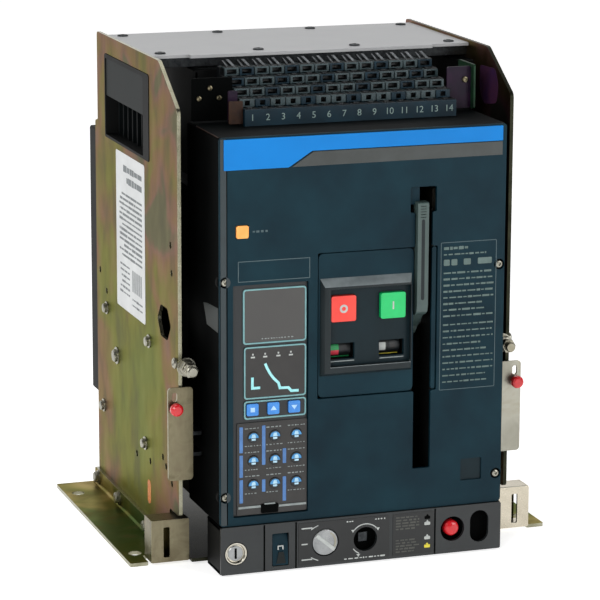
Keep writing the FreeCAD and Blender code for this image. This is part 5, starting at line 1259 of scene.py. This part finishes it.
for number, (x, z) in enumerate(DIALS, 1):
    low, high = corners("setting_dial_%d" % number)
    shape = Shape()
    base = (x, high.y, z)
    tall = high.y - low.y
    shape.turned(base, OUT, [
        (0, 0), (4.6, 0), (4.6, tall - 0.7), (4.3, tall - 0.4), (0, tall - 0.4)], trip_case)
    dome_line = arc((x, z - 0.6), 4.1, 0, 180, 12)
    shape.slab("y", low.y, low.y + 1, dial_blue, polygon(dome_line), bevel=0.2)
    shape.slab("y", low.y - 0.03, low.y + 0.4, dial_white, polygon([
        (x - 1.9, z - 0.4), (x + 1.9, z - 0.4), (x + 1.2, z + 2.6), (x - 1.2, z + 2.6)]),
        bevel=0.1)
    shape.slab("y", low.y, low.y + 1, dial_white,
               rectangle(x - 1.7, x + 1.7, z - 2.6, z - 1), bevel=0.2)
    piece("setting_knob_%d" % number, shape, "dial_%d" % number, "setting_dial_%d" % number,
          slot="dial_plastic")

# ---- breaker: secondary terminal block ----

block_low, block_high = corners("terminal_block")
COLUMNS, STEPS = 14, 4
RUN, RISE, STRIP = 13.5, 6.4, 13
PITCH = 12.7
middle_x = (block_low.x + block_high.x) / 2
column_x = [middle_x + PITCH * (number - (COLUMNS - 1) / 2) for number in range(COLUMNS)]
terminal = Shape()
row_left, row_right = column_x[0] - PITCH / 2, column_x[-1] + PITCH / 2
for step in range(STEPS + 1):
    front = block_low.y + RUN * step
    top = block_low.z + STRIP + RISE * step
    low = top - RISE
    wide = 2.2 if step == 1 else 4
    entries = [rectangle(x - wide, x + wide, top - 5.2, top - 1.3) for x in column_x]
    terminal.slab("y", front + (1 if step else 0), front + 4, block_dark if step else block_teal,
                  rectangle(row_left, row_right, low - 6.9, top),
                  *(entries if step else ()), bevel=0.2)
    terminal.block((row_left, front + 9, block_low.z),
                   (row_right, min(front + RUN + 6, block_high.y), top), block_dark)
    terminal.block((row_left, front + 1.5, top - 1.1), (row_right, front + RUN + 1, top),
                   block_dark)
    for number, x in enumerate(column_x):
        if step:
            terminal.slab("y", front, front + 1.2,
                          block_frame if (number * 5 + step) % 3 else block_teal,
                          rectangle(x - 5.9, x + 5.9, top - 6.2, top, 0.5), entries[number],
                          bevel=0.15)
            terminal.slab("y", front + 5, front + 7, drum_black,
                          rectangle(x - 3.2, x + 3.2, top - 4.6, top - 2.4), bevel=0.2)
        terminal.block((x - 6.35, front + 0.4, top - 1), (x - 5.85, front + RUN, top + 0.5),
                       block_frame if step else block_teal, 0.1)
        if step < STEPS:
            terminal.turned((x, front + 8, top), UP, [
                (0, 0), (2.7, 0), (2.7, 0.5), (2.2, 0.8), (0, 0.5)], black_oxide, sides=16)
for number, x in enumerate(column_x, 1):
    terminal.digits(str(number), x, block_low.z + 6.4, block_low.y, 7.4, digit_ink)
stairs = [(block_low.y, block_low.z), (block_low.y, block_low.z + STRIP)]
for step in range(1, STEPS + 1):
    stairs.append((block_low.y + RUN * step, block_low.z + STRIP + RISE * (step - 1)))
    stairs.append((block_low.y + RUN * step, block_low.z + STRIP + RISE * step))
stairs += [(block_high.y, block_high.z), (block_high.y, block_low.z)]
for left, right in ((row_left - 2, row_left), (row_right, row_right + 1.4)):
    terminal.slab("x", left, right, block_dark, polygon([
        (block_low.y + 6, block_low.z), *[(y + 6, z) for y, z in stairs[1:-2]],
        (block_high.y, block_high.z), (block_high.y, block_low.z)]), bevel=0.2)
piece("terminal_stack", terminal, "breaker", "terminal_block", slot="terminal_plastic")

# Sheet brackets that carry the block, one each side, on the breaker's top.
brackets = Shape()
RIGHT_ARM = (row_right + 1.7, 117, 353, 387)
brackets.slab("y", -91.5, -90, film_purple, rectangle(*RIGHT_ARM, 1.5), disc(111.8, 376.4, 2),
              bevel=0.3)
brackets.slab("x", 117, 118.6, film_green, rectangle(-98, -64, 353, 389, 2), bevel=0.3)
screw(brackets, (111.8, -91.5, 376.4), OUT, 2.6, 1.8, zinc_straw_and_shade)
LEFT_ARM = (-118.6, row_left - 2.3, 353, 387)
# The left arm takes the near-black wall finish: painted shade.
brackets.slab("y", -91.5, -90, wall_shade_black, rectangle(*LEFT_ARM, 1.5), bevel=0.3)
brackets.slab("y", -113, -111.4, film_brown_and_reflection, rectangle(-95, row_left - 0.3, 353, 371, 1),
              bevel=0.3)
brackets.slab("y", -105, -103.4, film_purple, rectangle(-93, row_left - 2.3, 353, 378, 1),
              bevel=0.3)
for x, z in ((-113, 371), (-104, 379), (-96.5, 371)):
    screw(brackets, (x, -91.5, z), OUT, 2.2, 1.6, zinc_straw_and_shade)
piece("block_brackets", brackets, "breaker", slot="zinc_steel")

clip_low, clip_high = corners("terminal_clips")
tabs = Shape()
for x in column_x:
    tabs.slab("y", clip_low.y + 3, clip_low.y + 4.2, spring_wire,
              polygon([(x + 2.4, clip_low.z - 0.2), (x + 5, clip_low.z - 0.2),
                       (x - 1, clip_high.z), (x - 3.6, clip_high.z)]), bevel=0.15)
    tabs.slab("y", clip_low.y + 6, clip_low.y + 7.2, spring_wire,
              polygon([(x - 2.4, clip_low.z - 0.2), (x, clip_low.z - 0.2),
                       (x - 5, clip_high.z - 1), (x - 6, clip_high.z - 1)]), bevel=0.15)
piece("terminal_tabs", tabs, "breaker", "terminal_clips", slot="bright_zinc")

# ---- breaker: pole housing, fingers, transformers and arc chutes ----

coat("pole_housing", black_bmc)
coat("arc_splitter_plates", steel)

jaw_low, jaw_high = corners("finger_clusters")
fingers = Shape()
for x in POLES:
    for z in LEVELS:
        for side in (-1, 1):
            for number in range(6):
                left = x - 23 + number * 7.8
                near, far = sorted((z + 5 * side, z + 11.3 * side))
                fingers.slab("x", left, left + 6.6, copper, polygon([
                    (jaw_low.y, near + 0.2), (jaw_high.y - 3, near + 0.2),
                    (jaw_high.y, (near + far) / 2), (jaw_high.y - 3, far - 0.6),
                    (jaw_low.y + 6, far - 0.2), (jaw_low.y, far - 0.2)], 0.8), bevel=0.3)
            fingers.block((x - 23.4, jaw_low.y + 6, z + (11 if side > 0 else -12)),
                          (x + 23.4, jaw_low.y + 9, z + (12 if side > 0 else -11)), spring_wire)
piece("finger_sets", fingers, "breaker", "finger_clusters", slot="copper")

core_low, core_high = corners("current_transformers")
cores = Shape()
for x in POLES:
    cores.slab("y", core_low.y, core_high.y, black_bmc,
               rectangle(x - POLE_HALF, x + POLE_HALF, core_low.z, core_high.z, 9),
               bar_opening(x, LEVELS[1], 1), bevel=1.2)
    cores.slab("y", core_low.y - 0.4, core_low.y + 0.5, paper_white,
               rectangle(x - 14, x + 14, core_low.z + 8, core_low.z + 18, 1), bevel=0.1)
piece("transformer_cores", cores, "breaker", "current_transformers", slot="core_plastic")

chute_low, chute_high = corners("arc_chutes")
chutes = Shape()
for x in POLES:
    for wall_x in (x - POLE_HALF - 2, x + POLE_HALF - 2):
        chutes.slab("x", wall_x, wall_x + 4, black_bmc,
                    rectangle(chute_low.y, chute_high.y, chute_low.z, chute_high.z, 1.5),
                    bevel=0.4)
    for wall_y in (chute_low.y, chute_high.y - 4):
        chutes.block((x - POLE_HALF, wall_y, chute_low.z),
                     (x + POLE_HALF, wall_y + 4, chute_high.z), black_bmc)
    vents = [rectangle(x - 24 + 12.5 * column, x - 16 + 12.5 * column, y, y + 7, 1)
             for column in range(4) for y in (-30, -14, 2, 18, 34, 50, 66)]
    chutes.slab("z", chute_high.z - 4, chute_high.z, smoke_grey_and_shading,
                rectangle(x - POLE_HALF, x + POLE_HALF, chute_low.y + 2, chute_high.y - 2, 1),
                *vents, bevel=0.3)
    for sx in (-26, 26):
        screw(chutes, (x + sx, chute_low.y, 372), OUT, 3, 2.2, nickel)
piece("arc_chute_boxes", chutes, "breaker", "arc_chutes", slot="black_plastic")

# ---- stage, light and camera ----


def stage():
    """Plain pale floor under the feet."""
    part = bmesh.new()
    bmesh.ops.create_grid(part, x_segments=1, y_segments=1, size=10)
    mesh = bpy.data.meshes.new("floor")
    part.to_mesh(mesh)
    part.free()
    floor = bpy.data.objects.new("floor", mesh)
    bpy.context.scene.collection.objects.link(floor)
    paper = moulded("studio_floor", "F4F4F4", "F6F6F6", rough=0.7, grain=3, relief=0.0,
                    patch=300, sheen=0.1)
    lit = paper.node_tree.nodes["Principled BSDF"]
    lit.inputs["Emission Color"].default_value = linear("FFFFFF")
    lit.inputs["Emission Strength"].default_value = 0.72
    mesh.materials.append(paper)


def lamp(name, place, height, size, power):
    """Soft white square light at a place, aimed at a height above the origin, in metres."""
    light = bpy.data.lights.new(name, "AREA")
    light.shape = "SQUARE"
    light.size = size
    light.energy = power
    holder = bpy.data.objects.new(name, light)
    bpy.context.scene.collection.objects.link(holder)
    holder.location = place
    aim = Vector((0, 0, height)) - Vector(place)
    holder.rotation_euler = aim.to_track_quat("-Z", "Y").to_euler()


stage()
lamp("key_light", (-1.7, -2.0, 1.3), 0.2, 1.2, 34)
lamp("fill_light", (1.5, -2.2, 1.0), 0.2, 1.4, 26)
lamp("top_light", (0, 0.5, 2.2), 0.3, 1.6, 9)

world = bpy.data.worlds.new("studio")
world.use_nodes = True
# The room is white behind the stage and dims towards the viewer, so dark faces stay dark.
room = world.node_tree
heading = add(room, "ShaderNodeSeparateXYZ", None,
              {"Vector": add(room, "ShaderNodeTexCoord").outputs["Generated"]})
glow = add(room, "ShaderNodeMapRange", None, {
    "Value": heading.outputs["Y"], "From Min": 0.1, "From Max": 0.8, "To Min": 0.05,
    "To Max": 1.05})
room.links.new(glow.outputs["Result"], room.nodes["Background"].inputs["Strength"])
room.nodes["Background"].inputs["Color"].default_value = linear("FFFFFF")
bpy.context.scene.world = world
bpy.context.scene.view_settings.view_transform = "Standard"

AZIMUTH, ELEVATION, ROLL = (math.radians(angle) for angle in (18.9, 12.7, 0.2))
LENS, SENSOR = 177.07, 36
VIEWPOINT = (-0.7809, -2.2894, 0.7266)
camera_data = bpy.data.cameras.new("view")
camera_data.lens = LENS
camera_data.sensor_width = SENSOR
camera = bpy.data.objects.new("view", camera_data)
bpy.context.scene.collection.objects.link(camera)
back = Vector((-math.sin(AZIMUTH) * math.cos(ELEVATION),
               -math.cos(AZIMUTH) * math.cos(ELEVATION), math.sin(ELEVATION)))
turn = back.to_track_quat("Z", "Y").to_matrix() @ Matrix.Rotation(ROLL, 3, "Z")
camera.matrix_world = Matrix.Translation(VIEWPOINT) @ turn.to_4x4()
bpy.context.scene.camera = camera
